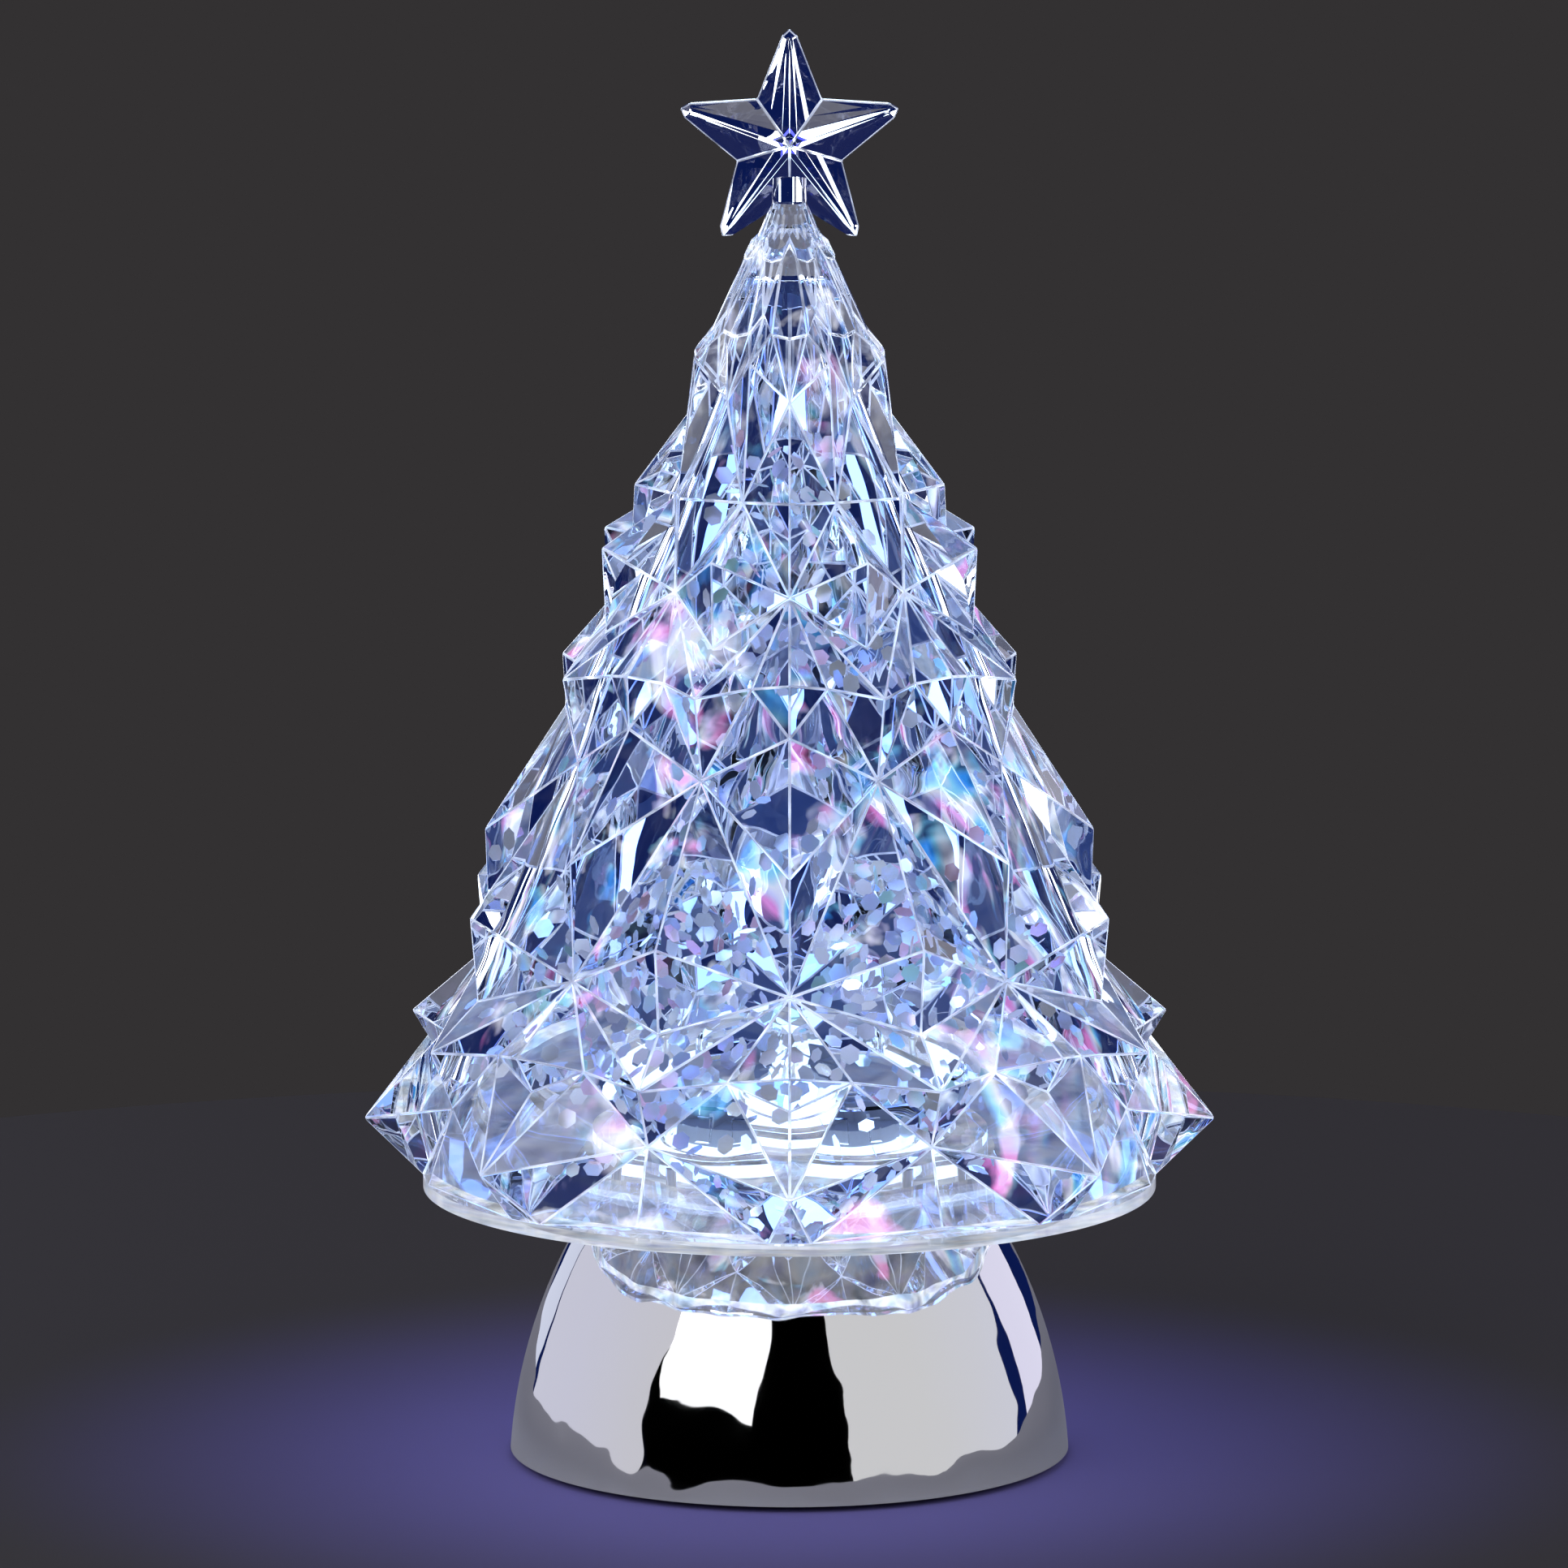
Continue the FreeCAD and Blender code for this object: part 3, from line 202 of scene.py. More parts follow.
def soft_box(name, lit, azimuth, elevation, distance, width, tall, radiance, tint):
    """A soft box that lights one set of pieces. Azimuth 0 is at the camera, plus is to its right."""
    turn, rise = math.radians(azimuth), math.radians(elevation)
    lamp = bpy.data.lights.new(name, "AREA")
    lamp.shape = "RECTANGLE"
    lamp.size = width
    lamp.size_y = tall
    lamp.energy = radiance * math.pi * width * tall
    lamp.color = linear(tint)[:3]
    place = bpy.data.objects.new(name, lamp)
    place.location = (distance * math.cos(rise) * math.sin(turn), -distance * math.cos(rise) * math.cos(turn),
                      AIM_HEIGHT + distance * math.sin(rise))
    aim = Vector((0.0, 0.0, AIM_HEIGHT)) - place.location
    place.rotation_euler = aim.to_track_quat("-Z", "Y").to_euler()
    place.visible_camera = False
    place.light_linking.receiver_collection = LIT[lit]
    bpy.context.scene.collection.objects.link(place)


# Name, pieces lit, azimuth and elevation in degrees, distance, width and height in metres, radiance, tint
SOFT_BOXES = (
    ("key_box", "plain", -35, 32, 1.3, 0.95, 1.15, 1.25, "#ffffff"),
    ("left_box", "plain", -99, 20, 1.2, 2.0, 1.5, 0.7, "#f9f8ff"),
    ("right_box", "plain", 68, 20, 1.2, 2.3, 1.5, 0.7, "#ffffff"),
    ("left_back_box", "plain", -149, 8, 1.2, 0.44, 1.0, 0.8, "#eef3ff"),
    ("right_back_box", "plain", 131, 8, 1.2, 0.68, 1.0, 0.9, "#f6f2ff"),
    ("left_edge_strip", "clear", -150, 8, 1.2, 0.12, 1.0, 2.2, "#eef3ff"),
    ("right_edge_strip", "clear", 124, 8, 1.2, 0.34, 1.0, 1.8, "#f6f2ff"),
    ("left_rear_strip", "clear", -160, 0, 1.2, 0.14, 0.6, 4.6, "#ffffff"),
    ("right_rear_strip", "clear", 158, 0, 1.2, 0.14, 0.6, 4.6, "#e8f2ff"),
    ("left_inner_strip", "clear", -171, 0, 1.2, 0.08, 0.6, 3.4, "#e6f4ff"),
    ("right_inner_strip", "clear", 169, 0, 1.2, 0.08, 0.6, 3.4, "#ffffff"),
    ("high_back_strip", "clear", 180, 13, 1.2, 0.9, 0.12, 3.2, "#dcf0ff"),
    ("high_back_box", "clear", 180, 56, 1.1, 0.9, 0.25, 4.0, "#eaf0ff"),
    ("high_left_box", "clear", -130, 60, 1.1, 0.3, 0.3, 4.0, "#eaf0ff"),
    ("high_right_box", "clear", 120, 62, 1.1, 0.3, 0.3, 4.0, "#eaf0ff"),
    ("front_left_box", "clear", -31, 33, 1.3, 0.4, 0.5, 2.5, "#ffffff"),
)
for box in SOFT_BOXES:
    soft_box(*box)
print("soft boxes:", len(SOFT_BOXES))

# %% Darken the room
ROOM_GREY = "#333132"
ROOM_NAVY = "#0c1a50"
ROOM_BLACK = "#000000"
LIGHT_BOUNCES = 20


def dark_room():
    """Plain dark grey behind the lantern; what the facets find between the soft boxes is navy."""
    room = bpy.data.worlds.new("dark_room")
    bpy.context.scene.world = room
    room.use_nodes = True
    tree = room.node_tree
    place = add_node(tree, "ShaderNodeTexCoord")
    axes = add_node(tree, "ShaderNodeSeparateXYZ", links={"Vector": (place, "Generated")})
    back = add_node(tree, "ShaderNodeMapRange", {"From Min": -0.5, "From Max": 0.3}, {"Value": (axes, "Y")})
    navy = add_node(tree, "ShaderNodeMix",
                    {"data_type": "RGBA", 6: linear(ROOM_BLACK), 7: linear(ROOM_NAVY)},
                    {"Factor": (back, "Result")})
    path = add_node(tree, "ShaderNodeLightPath")
    seen = add_node(tree, "ShaderNodeMix", {"data_type": "RGBA", 7: linear(ROOM_GREY)},
                    {"Factor": (path, "Is Camera Ray")})
    tree.links.new(navy.outputs[2], seen.inputs[6])
    tree.links.new(seen.outputs[2], tree.nodes["Background"].inputs["Color"])


dark_room()
bpy.context.scene.view_settings.view_transform = "Standard"
bpy.context.scene.cycles.max_bounces = LIGHT_BOUNCES
bpy.context.scene.cycles.transmission_bounces = LIGHT_BOUNCES
print("room set")

# %% [markdown]
# ## Clear acrylic
# The tree and the star are injection-moulded acrylic, polished in the mould. Acrylic bends light with
# an index of 1.49, and where the liquid touches it the step is only to 1.40, so the inner wall needs an
# index of 1.49 / 1.40. A very shallow, wide waviness from the mould keeps the facets from looking like
# cut glass. The faint blue tint is in the depth of the material, so short paths stay white and long
# ones turn navy: that is an absorption volume, not a surface colour.
#
# The diodes shine up through clouds of glitter. Following that light would take far too many bounces,
# so the walls give it off themselves, in patches of blue, cyan, white, lilac and pink.

# %% Acrylic materials
ACRYLIC_INDEX = 1.49
LIQUID_INDEX = 1.40
COLD_TINT = "#9cc8ff"


def moulded_acrylic(name, index, wave_mm, wave_depth_mm, tint, density):
    """Clear moulded acrylic with mould waviness and a tint that deepens with the path."""
    material, tree, shader = new_material(name, Base_Color=linear("#fbfdff"), Roughness=0.0, IOR=index,
                                          Transmission_Weight=1.0)
    place = add_node(tree, "ShaderNodeTexCoord")
    wave = add_node(tree, "ShaderNodeTexNoise", {"Scale": 1 / (wave_mm * MM), "Detail": 1.0},
                    {"Vector": (place, "Object")})
    bump = add_node(tree, "ShaderNodeBump", {"Strength": 1.0, "Distance": wave_depth_mm * MM},
                    {"Height": (wave, "Fac")})
    tree.links.new(bump.outputs["Normal"], shader.inputs["Normal"])
    depth = add_node(tree, "ShaderNodeVolumeAbsorption", {"Color": linear(tint), "Density": density})
    tree.links.new(depth.outputs["Volume"], tree.nodes["Material Output"].inputs["Volume"])
    return material


# Noise values gather round 0.5, so the colours share out the stretch round it.
FIRST_TONE = 0.35
TONE_SPREAD = 0.3


def led_light(material, heights_mm, strengths, patch_mm, cover, colours):
    """Diode light leaving a clear wall, strong or weak by height, in clouds of several colours.

    Heights are above the table, with the light's strength at each. Cover is where the clouds begin and
    where they are full, on the noise's scale of 0 to 1.
    """
    tree = material.node_tree
    shader = tree.nodes["Principled BSDF"]
    place = add_node(tree, "ShaderNodeTexCoord")
    axes = add_node(tree, "ShaderNodeSeparateXYZ", links={"Vector": (place, "Object")})
    level = add_node(tree, "ShaderNodeMapRange",
                     {"From Min": heights_mm[0] * MM, "From Max": heights_mm[-1] * MM},
                     {"Value": (axes, "Z")})
    ramp = add_node(tree, "ShaderNodeValToRGB", links={"Fac": (level, "Result")})
    stops = ramp.color_ramp.elements
    span = heights_mm[-1] - heights_mm[0]
    for number, (height, strength) in enumerate(zip(heights_mm, strengths)):
        stop = stops[number] if number < 2 else stops.new(1.0)
        stop.position = (height - heights_mm[0]) / span
        stop.color = (strength, strength, strength, 1.0)
    cloud = add_node(tree, "ShaderNodeTexNoise",
                     {"Scale": 1 / (patch_mm * MM), "Detail": 3.0, "Distortion": 0.6},
                     {"Vector": (place, "Object")})
    patch = add_node(tree, "ShaderNodeMapRange", {"From Min": cover[0], "From Max": cover[1]},
                     {"Value": (cloud, "Fac")})
    glow = add_node(tree, "ShaderNodeMath", {"operation": "MULTIPLY"},
                    {0: (ramp, "Color"), 1: (patch, "Result")})
    tree.links.new(glow.outputs["Value"], shader.inputs["Emission Strength"])
    hue = add_node(tree, "ShaderNodeTexNoise", {"Scale": 1 / (patch_mm * 0.8 * MM), "Detail": 1.0},
                   {"Vector": (place, "Object")})
    tone = add_node(tree, "ShaderNodeValToRGB", links={"Fac": (hue, "Fac")})
    tones = tone.color_ramp.elements
    for number, colour in enumerate(colours):
        stop = tones[number] if number < 2 else tones.new(1.0)
        stop.position = FIRST_TONE + TONE_SPREAD * number / (len(colours) - 1)
        stop.color = linear(colour)
    tree.links.new(tone.outputs["Color"], shader.inputs["Emission Color"])


# How far along an edge its brightness holds before it changes
EDGE_RUN = 6 * MM


def edge_acrylic(name, glow):
    """The radius along a facet's edge, with a painted glow that stands for light led along the wall by inner
    reflection and coming out there.
    """
    material, tree, shader = new_material(name, Base_Color=linear("#f4f8ff"), Roughness=0.12,
                                          IOR=ACRYLIC_INDEX, Transmission_Weight=0.8,
                                          Emission_Color=linear("#dbe6ff"))
    place = add_node(tree, "ShaderNodeTexCoord")
    run = add_node(tree, "ShaderNodeTexNoise", {"Scale": 1 / EDGE_RUN, "Detail": 2.0},
                   {"Vector": (place, "Object")})
    leak = add_node(tree, "ShaderNodeMapRange",
                    {"From Min": 0.35, "From Max": 0.65, "To Min": 0.3 * glow, "To Max": 1.5 * glow},
                    {"Value": (run, "Fac")})
    tree.links.new(leak.outputs["Result"], shader.inputs["Emission Strength"])
    return material


facet_acrylic = moulded_acrylic("moulded_acrylic", ACRYLIC_INDEX,
                                wave_mm=14, wave_depth_mm=0.25, tint=COLD_TINT, density=1.6)
led_light(facet_acrylic, heights_mm=(57, 75, 110, 205, 232, 258), strengths=(0.0, 0.0, 0.0, 0.05, 0.6, 1.0),
          patch_mm=9, cover=(0.55, 0.68), colours=("#dfe9ff", "#ffffff", "#d7dcff"))
inner_acrylic = moulded_acrylic("acrylic_against_liquid", ACRYLIC_INDEX / LIQUID_INDEX,
                                wave_mm=20, wave_depth_mm=0.4, tint=COLD_TINT, density=1.6)
led_light(inner_acrylic, heights_mm=(57, 85, 140, 190, 236), strengths=(0.65, 0.75, 0.75, 0.4, 0.4),
          patch_mm=18, cover=(0.57, 0.66), colours=("#2f9fff", "#8fe6ff", "#ffffff", "#e4dcff", "#ff8fd6"))
star_acrylic = moulded_acrylic("moulded_star_acrylic", ACRYLIC_INDEX,
                               wave_mm=9, wave_depth_mm=0.12, tint="#8fa8ff", density=10.0)
plate_acrylic = moulded_acrylic("moulded_plate_acrylic", ACRYLIC_INDEX,
                                wave_mm=30, wave_depth_mm=0.05, tint=COLD_TINT, density=1.6)
led_light(plate_acrylic, heights_mm=(54, 58), strengths=(0.16, 0.16),
          patch_mm=10, cover=(0.2, 0.6), colours=("#cfe4ff", "#ffffff", "#d9dcff"))
tree_edge = edge_acrylic("acrylic_edge", glow=0.45)
star_edge = edge_acrylic("acrylic_star_edge", glow=0.35)
print("acrylics: facet, inner wall, star, plate and two edges")


# %% [markdown]
# ## Tree and star
# The loaded tree has the right facets, but its edges are mathematically sharp, and no moulded edge is:
# a radius of a few tenths of a millimetre is what draws the bright line along every facet. So a copy is
# merged, its flat triangles are dissolved into whole facets, and the edges between facets are bevelled.
# The inner wall is found by how close it lies to the liquid, and stays smooth.

# %% Bevelled copies of the faceted parts
MERGE_DISTANCE = 0.002 * MM
FLAT_DEGREES = 0.2


def merged_copy(node):
    """A bmesh copy of a loaded part, with doubles merged and flat triangles made whole facets."""
    shape = bmesh.new()
    shape.from_mesh(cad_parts[node].data)
    bmesh.ops.remove_doubles(shape, verts=shape.verts, dist=MERGE_DISTANCE)
    bmesh.ops.dissolve_limit(shape, angle_limit=math.radians(FLAT_DEGREES), verts=shape.verts,
                             edges=shape.edges)
    return shape


def clear_piece(name, shape, replaced, *materials):
    """Turn a bmesh into a clear piece of the lantern that stands for a loaded part."""
    mesh = bpy.data.meshes.new(name)
    shape.to_mesh(mesh)
    shape.free()
    for material in materials:
        mesh.materials.append(material)
    piece = bpy.data.objects.new(name, mesh)
    bpy.context.scene.collection.objects.link(piece)
    LIT["clear"].objects.link(piece)
    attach(piece, "lantern")
    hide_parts(replaced)
    print(name, len(mesh.polygons), "faces")


# An edge shorter than this many radii can't hold one at both its ends.
ROOM_FOR_RADIUS = 2.2


def bevel_facets(shape, is_facet, width_mm, edge_slot, least_degrees):
    """Round the edges where two facets meet, except where the facets are too small to hold a radius."""
    roomy = {vertex for vertex in shape.verts
             if all(edge.calc_length() > ROOM_FOR_RADIUS * width_mm * MM for edge in vertex.link_edges)}
    edges = []
    for edge in shape.edges:
        if len(edge.link_faces) != 2 or not all(is_facet(face) for face in edge.link_faces):
            continue
        turned = edge.calc_face_angle(0.0) > math.radians(least_degrees)
        if turned and all(end in roomy for end in edge.verts):
            edges.append(edge)
    rounded = bmesh.ops.bevel(shape, geom=edges, offset=width_mm * MM, offset_type="OFFSET", segments=2,
                              profile=0.5, affect="EDGES", clamp_overlap=False, material=-1)
    for face in rounded["faces"]:
        face.material_index = edge_slot
        face.smooth = True
    return len(edges)


TREE_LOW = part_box("tree_shell")[0][2]
TREE_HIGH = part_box("tree_shell")[1][2]

# Crossing facets leave slivers shorter than this. The tip and the foot are left as they are.
SLIVER = 0.9 * MM
PLAIN_TIP = 14 * MM
PLAIN_FOOT = 1 * MM
LEVEL_SLACK = 0.01 * MM
WALL_TO_LIQUID = 0.6 * MM

# Material slots of the tree and of the star
FACET, INNER_WALL, EDGE = 0, 1, 2
STAR_EDGE = 1


def build_tree():
    """The tree: inner wall smooth, outer facets flat with rounded edges between them."""
    shape = merged_copy("tree_shell")
    liquid_shape = bmesh.new()
    liquid_shape.from_mesh(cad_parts["liquid"].data)
    liquid_skin = BVHTree.FromBMesh(liquid_shape)
    floor_level = TREE_LOW + LEVEL_SLACK

    def is_inner(face):
        found = liquid_skin.find_nearest(face.calc_center_median(), WALL_TO_LIQUID)
        return found[0] is not None

    outside = [vertex for vertex in shape.verts if not any(is_inner(face) for face in vertex.link_faces)
               and floor_level + PLAIN_FOOT < vertex.co.z < TREE_HIGH - PLAIN_TIP]
    bmesh.ops.remove_doubles(shape, verts=outside, dist=SLIVER)
    for face in shape.faces:
        inner = is_inner(face)
        face.material_index = INNER_WALL if inner else FACET
        face.smooth = inner
    count = bevel_facets(shape, lambda face: face.material_index == FACET,
                         width_mm=0.3, edge_slot=EDGE, least_degrees=6)
    for face in shape.faces:
        if all(vertex.co.z < floor_level for vertex in face.verts):
            face.smooth = False
    liquid_shape.free()
    print("facet edges rounded:", count)
    clear_piece("tree", shape, "tree_shell", facet_acrylic, inner_acrylic, tree_edge)


def build_star():
    """The star: every edge but the faintest is rounded."""
    shape = merged_copy("star_topper")
    count = bevel_facets(shape, lambda face: True, width_mm=0.28, edge_slot=STAR_EDGE, least_degrees=12)
    print("star edges rounded:", count)
    clear_piece("star", shape, "star_topper", star_acrylic, star_edge)


build_tree()
build_star()
finish(plate_acrylic, "chamber_floor")

# %% [markdown]
# ## Liquid and glitter
# The liquid is water with glycerine. It needs no surface of its own, because the acrylic's inner wall
# already bends the light for it, so its skin is nearly clear and only its depth is tinted.
#
# The flakes are hexagons punched from metallised film. Real ones are about 3 mm across; these are drawn
# a little larger, so that they still show behind the facets. They are separate little plates: each is a
# six-sided disc, turned at random, and most of them drift low in the tree. Each one catches the light
# by itself, which a painted pattern could not do.

# %% Liquid
def glycerine_water():
    """Clear liquid: no skin to speak of, and a faint cold tint in its depth."""
    material, tree, shader = new_material("glycerine_water", Base_Color=linear("#dbe9ff"), Roughness=0.0,
                                          IOR=1.33, Alpha=0.02)
    depth = add_node(tree, "ShaderNodeVolumeAbsorption", {"Color": linear("#a6d2ff"), "Density": 1.2})
    tree.links.new(depth.outputs["Volume"], tree.nodes["Material Output"].inputs["Volume"])
    return material


finish(glycerine_water(), "liquid")


# %% Glitter flakes
FLAKE_ACROSS = 4.2 * MM
FLAKE_THICK = 0.08 * MM

# The liquid's outer wall is read from rings wider than this, and from steps taller than this.
LEAST_RADIUS = 4 * MM
LEAST_RISE = 2 * MM


def chamber_profile():
    """Height and radius of the liquid's outside, from its own mesh."""
    rings = {}
    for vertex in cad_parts["liquid"].data.vertices:
        level = round(vertex.co.z, 4)
        rings[level] = max(rings.get(level, 0.0), math.hypot(vertex.co.x, vertex.co.y))
    return sorted(rings.items())


PROFILE = chamber_profile()
CAGE_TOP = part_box("impeller_cage")[1][2]
CAGE_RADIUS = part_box("impeller_cage")[1][0]
LIQUID_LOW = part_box("liquid")[0][2]
LIQUID_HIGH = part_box("liquid")[1][2]
WALL_GAP = 2.2 * MM
CAGE_GAP = 3 * MM
LEAST_REACH = 2 * MM


def chamber_radius(level):
    """How far out the liquid reaches at a height."""
    reach = 0.0
    outer = [(height, radius) for height, radius in PROFILE if radius > LEAST_RADIUS]
    for (low, wide), (high, narrow) in zip(outer, outer[1:]):
        if low <= level <= high and high - low > LEAST_RISE:
            share = (level - low) / (high - low)
            reach = max(reach, wide + (narrow - wide) * share)
    return reach


def flake_place(lowest, highest):
    """A random spot in the liquid, clear of the wall and of the impeller cage."""
    while True:
        level = random.uniform(lowest, highest)
        reach = chamber_radius(level) - WALL_GAP
        if reach < LEAST_REACH:
            continue
        radius = reach * math.sqrt(random.random())
        if level < CAGE_TOP + CAGE_GAP and radius < CAGE_RADIUS + CAGE_GAP:
            continue
        turn = random.uniform(0, 2 * math.pi)
        return Vector((radius * math.cos(turn), radius * math.sin(turn), level))


# The flakes' faint self-glow is painted light: it stands for the diode light they catch.
FILM_GLOW = 0.18
SHADE_PATCH = 7 * MM


def metallised_film(name, colour):
    """Metallised film: bright metal with a faint painted glow in its own colour, shifted a little in colour
    from flake to flake.
    """
    material, tree, shader = new_material(name, Metallic=1.0, Roughness=0.18, Emission_Strength=FILM_GLOW)
    place = add_node(tree, "ShaderNodeTexCoord")
    patch = add_node(tree, "ShaderNodeTexVoronoi", {"Scale": 1 / SHADE_PATCH}, {"Vector": (place, "Object")})
    shift = add_node(tree, "ShaderNodeHueSaturation", {"Color": linear(colour), "Saturation": 1.0})
    spread = add_node(tree, "ShaderNodeMapRange", {"To Min": 0.44, "To Max": 0.56},
                      {"Value": (patch, "Distance")})
    tree.links.new(spread.outputs["Result"], shift.inputs["Hue"])
    tree.links.new(shift.outputs["Color"], shader.inputs["Base Color"])
    tree.links.new(shift.outputs["Color"], shader.inputs["Emission Color"])
    return material


def build_flakes(name, count, lowest, highest, material):
    """Hexagonal flakes scattered between two heights."""
    shape = bmesh.new()
    for number in range(count):
        turn = Matrix.Rotation(random.uniform(0, math.pi), 4, "Z") @ Matrix.Rotation(
            random.uniform(0, math.pi), 4, "X") @ Matrix.Rotation(random.uniform(0, math.pi), 4, "Y")
        spot = Matrix.Translation(flake_place(lowest, highest))
        bmesh.ops.create_cone(shape, cap_ends=True, segments=6, radius1=FLAKE_ACROSS / 2,
                              radius2=FLAKE_ACROSS / 2, depth=FLAKE_THICK, matrix=spot @ turn)
    mesh = bpy.data.meshes.new(name)
    shape.to_mesh(mesh)
    shape.free()
    mesh.materials.append(material)
    piece = bpy.data.objects.new(name, mesh)
    bpy.context.scene.collection.objects.link(piece)
    LIT["clear"].objects.link(piece)
    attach(piece, "lantern")
    print(name, count, "flakes")


# Most flakes drift between the floor of the chamber and the middle band.
LOW_BAND = LIQUID_LOW + 4 * MM
MIDDLE_BAND = LIQUID_LOW + 55 * MM
HIGH_BAND = LIQUID_HIGH - 30 * MM
for film_name, film_colour, low_count, high_count in (
        ("silver", "#f3f7ff", 280, 70), ("ice_blue", "#d3e4ff", 170, 50),
        ("rose", "#f8d3ec", 30, 10), ("teal", "#bdeef0", 30, 10)):
    film = metallised_film("metallised_film_" + film_name, film_colour)
    build_flakes("flakes_low_" + film_name, low_count, LOW_BAND, MIDDLE_BAND, film)
    build_flakes("flakes_high_" + film_name, high_count, MIDDLE_BAND, HIGH_BAND, film)


# %% [markdown]
# ## Plated dome
# The base is ABS with a vacuum-plated silver layer. Plating follows the moulded surface exactly, and a
# thin dome always sinks a little as it cools, so its reflections wander: their edges are wavy, not
# straight. That is a wide, shallow bump. Otherwise it is a bright metal with hardly any roughness.

# %% Silver plating
SINK_WIDTH = 26 * MM
SINK_DEPTH = 1.1 * MM


def silver_plating():
    """Vacuum-plated silver: a mirror whose reflections wander with the sinks of the moulding."""
    material, tree, shader = new_material("silver_plating", Base_Color=linear("#e9e9ec"), Metallic=1.0,
                                          Roughness=0.03)
    place = add_node(tree, "ShaderNodeTexCoord")
    sink = add_node(tree, "ShaderNodeTexNoise", {"Scale": 1 / SINK_WIDTH, "Detail": 2.0, "Roughness": 0.45},
                    {"Vector": (place, "Object")})
    bump = add_node(tree, "ShaderNodeBump", {"Strength": 1.0, "Distance": SINK_DEPTH},
                    {"Height": (sink, "Fac")})
    tree.links.new(bump.outputs["Normal"], shader.inputs["Normal"])
    return material


finish(silver_plating(), "base_dome")


# %% [markdown]
# ## Light
# Eight diodes in clear epoxy stand on a ring-shaped board in a white tray, under a frosted window that
# spreads their light before it enters the liquid. The window is what glows, so it carries most of the
# emission, in the cool white of such diodes.

# %% Window, diodes, board and tray
def frosted_acrylic():
    """Frosted acrylic: a fine matt grain that spreads the diodes' light into one even glow."""
    material, tree, shader = new_material("frosted_acrylic", Base_Color=linear("#eef5ff"), Roughness=0.45,
                                          Transmission_Weight=0.3, Emission_Color=linear("#cfe4ff"),
                                          Emission_Strength=1.25)
    place = add_node(tree, "ShaderNodeTexCoord")
    frost = add_node(tree, "ShaderNodeTexNoise", {"Scale": 1 / (0.4 * MM), "Detail": 2.0},
                     {"Vector": (place, "Object")})
    bump = add_node(tree, "ShaderNodeBump", {"Strength": 0.3, "Distance": 0.05 * MM},
                    {"Height": (frost, "Fac")})
    tree.links.new(bump.outputs["Normal"], shader.inputs["Normal"])
    return material


def diode_epoxy(name, colour):
    """Clear epoxy lens: it glows most at its domed end, where the light leaves it."""
    material, tree, shader = new_material(name, Base_Color=linear(colour), Roughness=0.08, IOR=1.52,
                                          Transmission_Weight=0.6, Emission_Color=linear(colour))
    place = add_node(tree, "ShaderNodeTexCoord")
    axes = add_node(tree, "ShaderNodeSeparateXYZ", links={"Vector": (place, "Object")})
    low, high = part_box("led_1")[0][2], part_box("led_1")[1][2]
    glow = add_node(tree, "ShaderNodeMapRange",
                    {"From Min": low, "From Max": high, "To Min": 1.0, "To Max": 12.0},
                    {"Value": (axes, "Z")})
    tree.links.new(glow.outputs["Result"], shader.inputs["Emission Strength"])
    return material


def moulded_plastic(name, colour, roughness, grain_mm, depth_mm):
    """Moulded plastic with the fine spark-eroded grain of its mould, which softens its highlights."""
    material, tree, shader = new_material(name, Base_Color=linear(colour), Roughness=roughness)
    place = add_node(tree, "ShaderNodeTexCoord")
    grain = add_node(tree, "ShaderNodeTexNoise", {"Scale": 1 / (grain_mm * MM), "Detail": 3.0},
                     {"Vector": (place, "Object")})
    bump = add_node(tree, "ShaderNodeBump", {"Strength": 0.5, "Distance": depth_mm * MM},
                    {"Height": (grain, "Fac")})
    gloss = add_node(tree, "ShaderNodeMapRange",
                     {"To Min": roughness - 0.06, "To Max": roughness + 0.08},
                     {"Value": (grain, "Fac")})
    tree.links.new(bump.outputs["Normal"], shader.inputs["Normal"])
    tree.links.new(gloss.outputs["Result"], shader.inputs["Roughness"])
    return material


def glass_fibre_board():
    """Circuit board: green lacquer over woven glass fibre, with a faint weave."""
    material, tree, shader = new_material("glass_fibre_board", Roughness=0.35, Coat_Weight=0.5)
    place = add_node(tree, "ShaderNodeTexCoord")
    weave = add_node(tree, "ShaderNodeTexChecker",
                     {"Scale": 1 / (0.8 * MM), "Color1": linear("#14613a"), "Color2": linear("#176b41")},
                     {"Vector": (place, "Object")})
    tree.links.new(weave.outputs["Color"], shader.inputs["Base Color"])
    return material


finish(frosted_acrylic(), "light_window")
finish(diode_epoxy("diode_epoxy_white", "#dbeaff"), "led_1", "led_3", "led_5", "led_7")
finish(diode_epoxy("diode_epoxy_blue", "#9fd0ff"), "led_2", "led_6")
finish(diode_epoxy("diode_epoxy_rose", "#ff9fdc"), "led_4", "led_8")
finish(glass_fibre_board(), "led_board")
white_plastic = moulded_plastic("white_polypropylene", "#e6e8ea", roughness=0.45, grain_mm=0.6, depth_mm=0.02)
finish(white_plastic, "light_tray")
finish(moulded_acrylic("moulded_cage_acrylic", ACRYLIC_INDEX / LIQUID_INDEX,
                       wave_mm=8, wave_depth_mm=0.1, tint="#dfe9ff", density=5.0), "impeller_cage")


# %% [markdown]
# ## Drive
# A flat motor under the tray turns a pair of ferrite magnets, and they drag the impeller round through
# the window and the chamber floor, so no shaft has to pass through the water. Its parts are plain
# engineering finishes: drawn steel, laminated iron, sintered ferrite and white plastic.

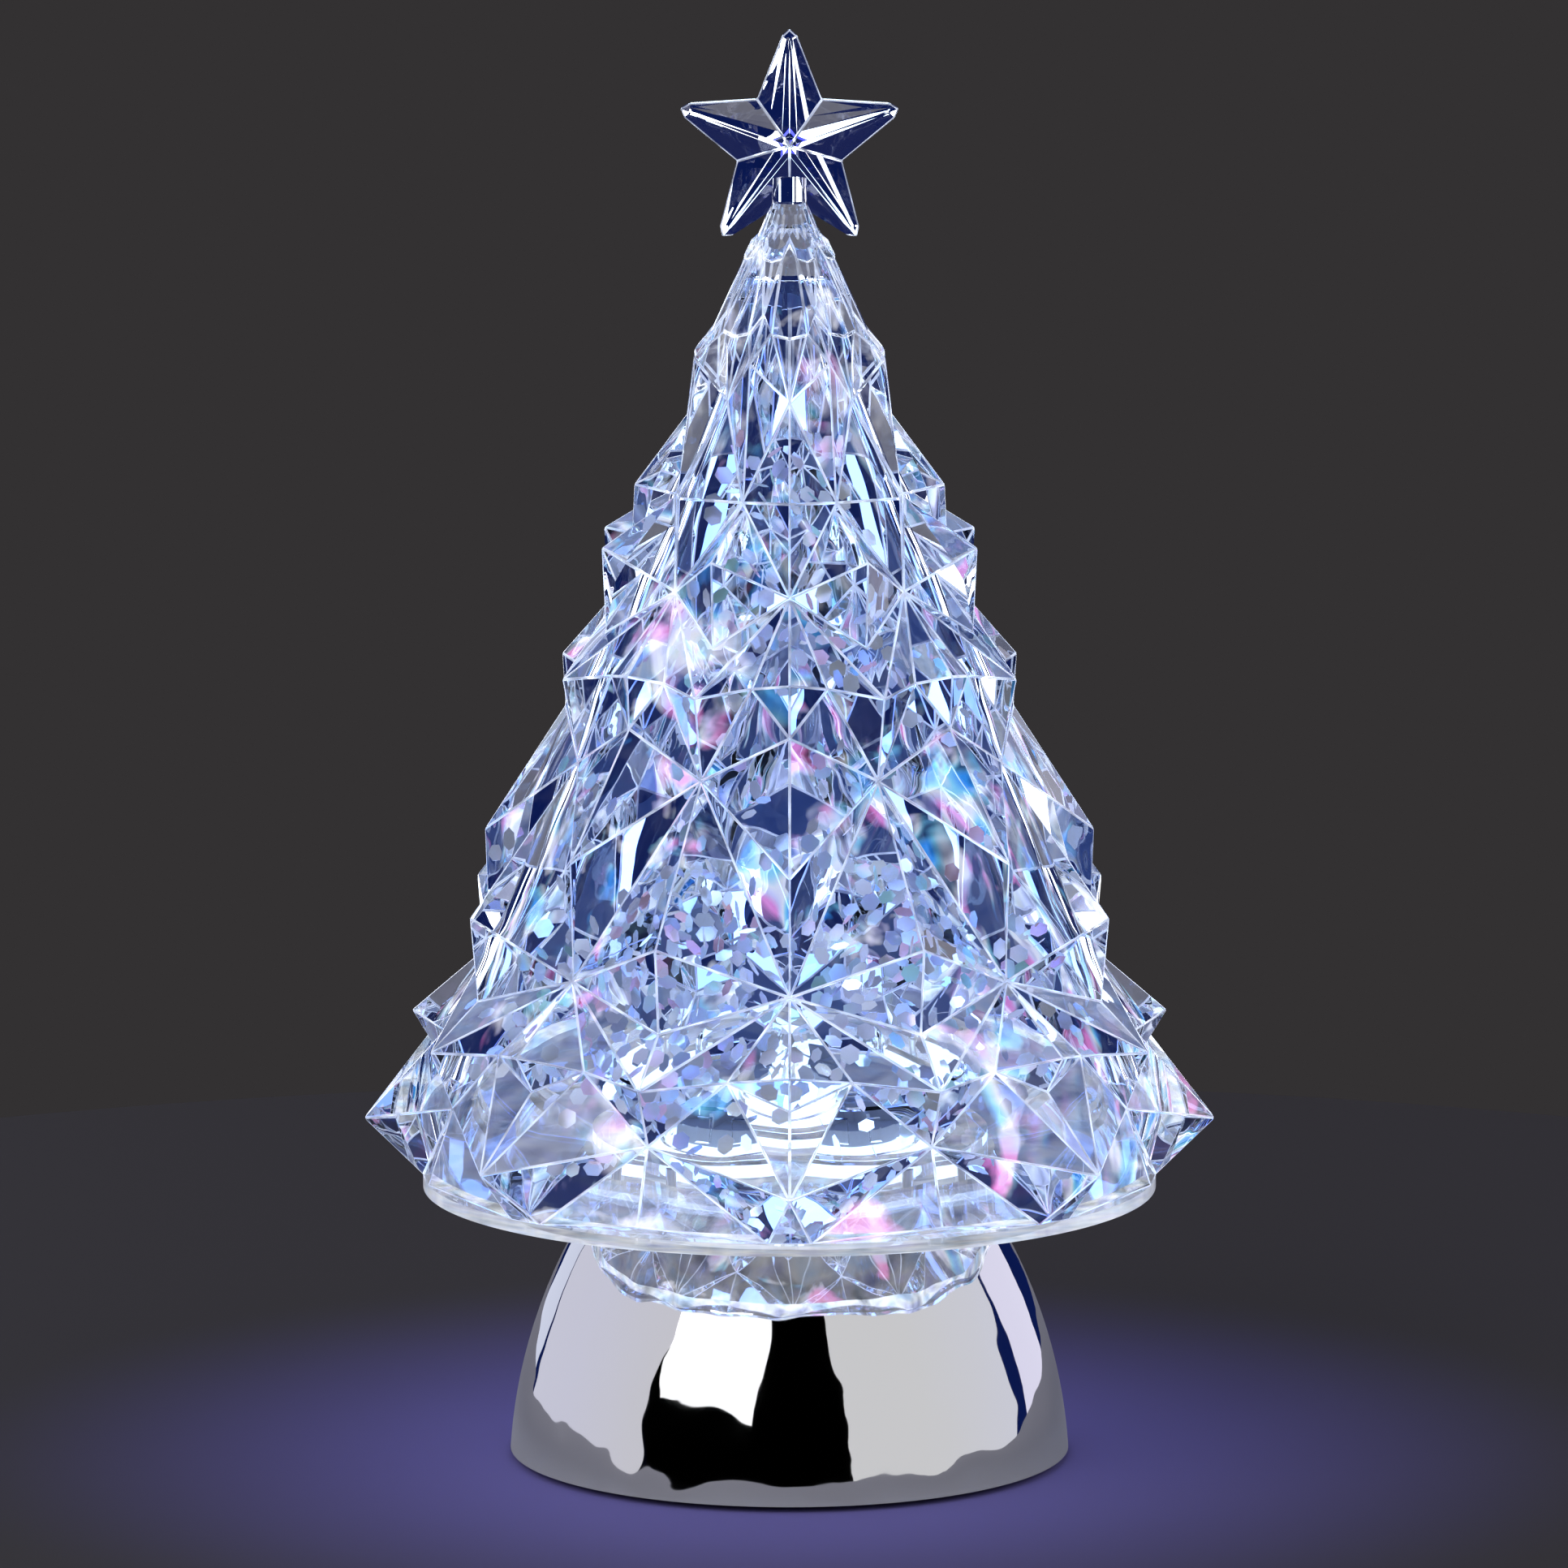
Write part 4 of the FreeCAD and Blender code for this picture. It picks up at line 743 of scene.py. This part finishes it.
# %% Metals and ferrite
def drawn_steel(name, colour, roughness, line_mm):
    """Drawn or turned metal: fine lines round the part, seen as streaks of more and less gloss."""
    material, tree, shader = new_material(name, Base_Color=linear(colour), Metallic=1.0, Roughness=roughness)
    place = add_node(tree, "ShaderNodeTexCoord")
    stretch = add_node(tree, "ShaderNodeMapping", {"Scale": (0.05, 0.05, 1.0)}, {"Vector": (place, "Object")})
    lines = add_node(tree, "ShaderNodeTexNoise", {"Scale": 1 / (line_mm * MM), "Detail": 4.0},
                     {"Vector": (stretch, "Vector")})
    gloss = add_node(tree, "ShaderNodeMapRange", {"To Min": roughness * 0.7, "To Max": roughness * 1.4},
                     {"Value": (lines, "Fac")})
    tree.links.new(gloss.outputs["Result"], shader.inputs["Roughness"])
    return material


def sintered_ferrite():
    """Pressed and fired ferrite: nearly black, with the speckle of its grains."""
    material, tree, shader = new_material("sintered_ferrite", Roughness=0.55)
    place = add_node(tree, "ShaderNodeTexCoord")
    speck = add_node(tree, "ShaderNodeTexVoronoi", {"Scale": 1 / (0.35 * MM)}, {"Vector": (place, "Object")})
    tone = add_node(tree, "ShaderNodeMix", {"data_type": "RGBA", 6: linear("#232327"), 7: linear("#3a3a40")},
                    {"Factor": (speck, "Distance")})
    tree.links.new(tone.outputs[2], shader.inputs["Base Color"])
    return material


steel = drawn_steel("drawn_steel", "#b9babd", roughness=0.25, line_mm=0.3)
zinc = drawn_steel("zinc_plated_steel", "#c4c6c9", roughness=0.32, line_mm=0.2)
nickel = drawn_steel("nickel_plated_steel", "#cfcbc2", roughness=0.22, line_mm=0.2)
iron = drawn_steel("laminated_iron", "#6a6663", roughness=0.45, line_mm=0.5)
finish(steel, "motor_can", "motor_shaft", "impeller_pin", "switch_body")
finish(zinc, "motor_screws", "tray_screws", "tree_screws", "base_screws")
finish(nickel, "contact_plates", "contact_springs")
finish(iron, "motor_armature")
finish(sintered_ferrite(), "motor_magnet", "drive_magnets", "impeller_magnets")
finish(white_plastic, "impeller")

# %% [markdown]
# ## Under side
# What the table hides is plain: a black textured plate with a battery bay, its door, a slide switch and
# four soft feet. Three cells lie in the bay side by side.

# %% Plastics, rubber, cells and leads
def moulded_rubber():
    """Moulded rubber: dull and slightly rough, so it hardly shines."""
    material, tree, shader = new_material("moulded_rubber", Base_Color=linear("#1b1b1c"), Roughness=0.75)
    place = add_node(tree, "ShaderNodeTexCoord")
    skin = add_node(tree, "ShaderNodeTexNoise", {"Scale": 1 / (0.5 * MM), "Detail": 4.0},
                    {"Vector": (place, "Object")})
    bump = add_node(tree, "ShaderNodeBump", {"Strength": 0.5, "Distance": 0.04 * MM},
                    {"Height": (skin, "Fac")})
    tree.links.new(bump.outputs["Normal"], shader.inputs["Normal"])
    return material


COPPER_START = 12 * MM


def cell_jacket():
    """A cell's shrink sleeve: glossy and dark, with a copper-coloured stretch at one end."""
    material, tree, shader = new_material("cell_jacket", Roughness=0.3, Coat_Weight=0.3)
    place = add_node(tree, "ShaderNodeTexCoord")
    axes = add_node(tree, "ShaderNodeSeparateXYZ", links={"Vector": (place, "Object")})
    step = add_node(tree, "ShaderNodeMath", {"operation": "GREATER_THAN", 1: COPPER_START},
                    {0: (axes, "X")})
    tone = add_node(tree, "ShaderNodeMix", {"data_type": "RGBA", 6: linear("#202226"), 7: linear("#b87a4b")},
                    {"Factor": (step, "Value")})
    tree.links.new(tone.outputs[2], shader.inputs["Base Color"])
    return material


black_plastic = moulded_plastic("black_abs", "#18181a", roughness=0.55, grain_mm=0.5, depth_mm=0.03)
black_acetal = moulded_plastic("black_acetal", "#242427", roughness=0.35, grain_mm=0.4, depth_mm=0.01)
finish(black_plastic, "base_plate", "battery_door", "motor_end_cap", "magnet_carrier")
finish(black_acetal, "switch_knob")
finish(moulded_rubber(), "filler_plug", "foot_1", "foot_2", "foot_3", "foot_4")
finish(cell_jacket(), "battery_cell_1", "battery_cell_2", "battery_cell_3")
for lead, sleeve_colour in (("red", "#a01818"), ("black", "#141414")):
    sleeve = moulded_plastic(lead + "_sleeve", sleeve_colour, roughness=0.4, grain_mm=0.8, depth_mm=0.01)
    finish(sleeve, "switch_lead_" + lead, "battery_lead_" + lead)

# %% [markdown]
# ## Finish

# %% End
print("done")
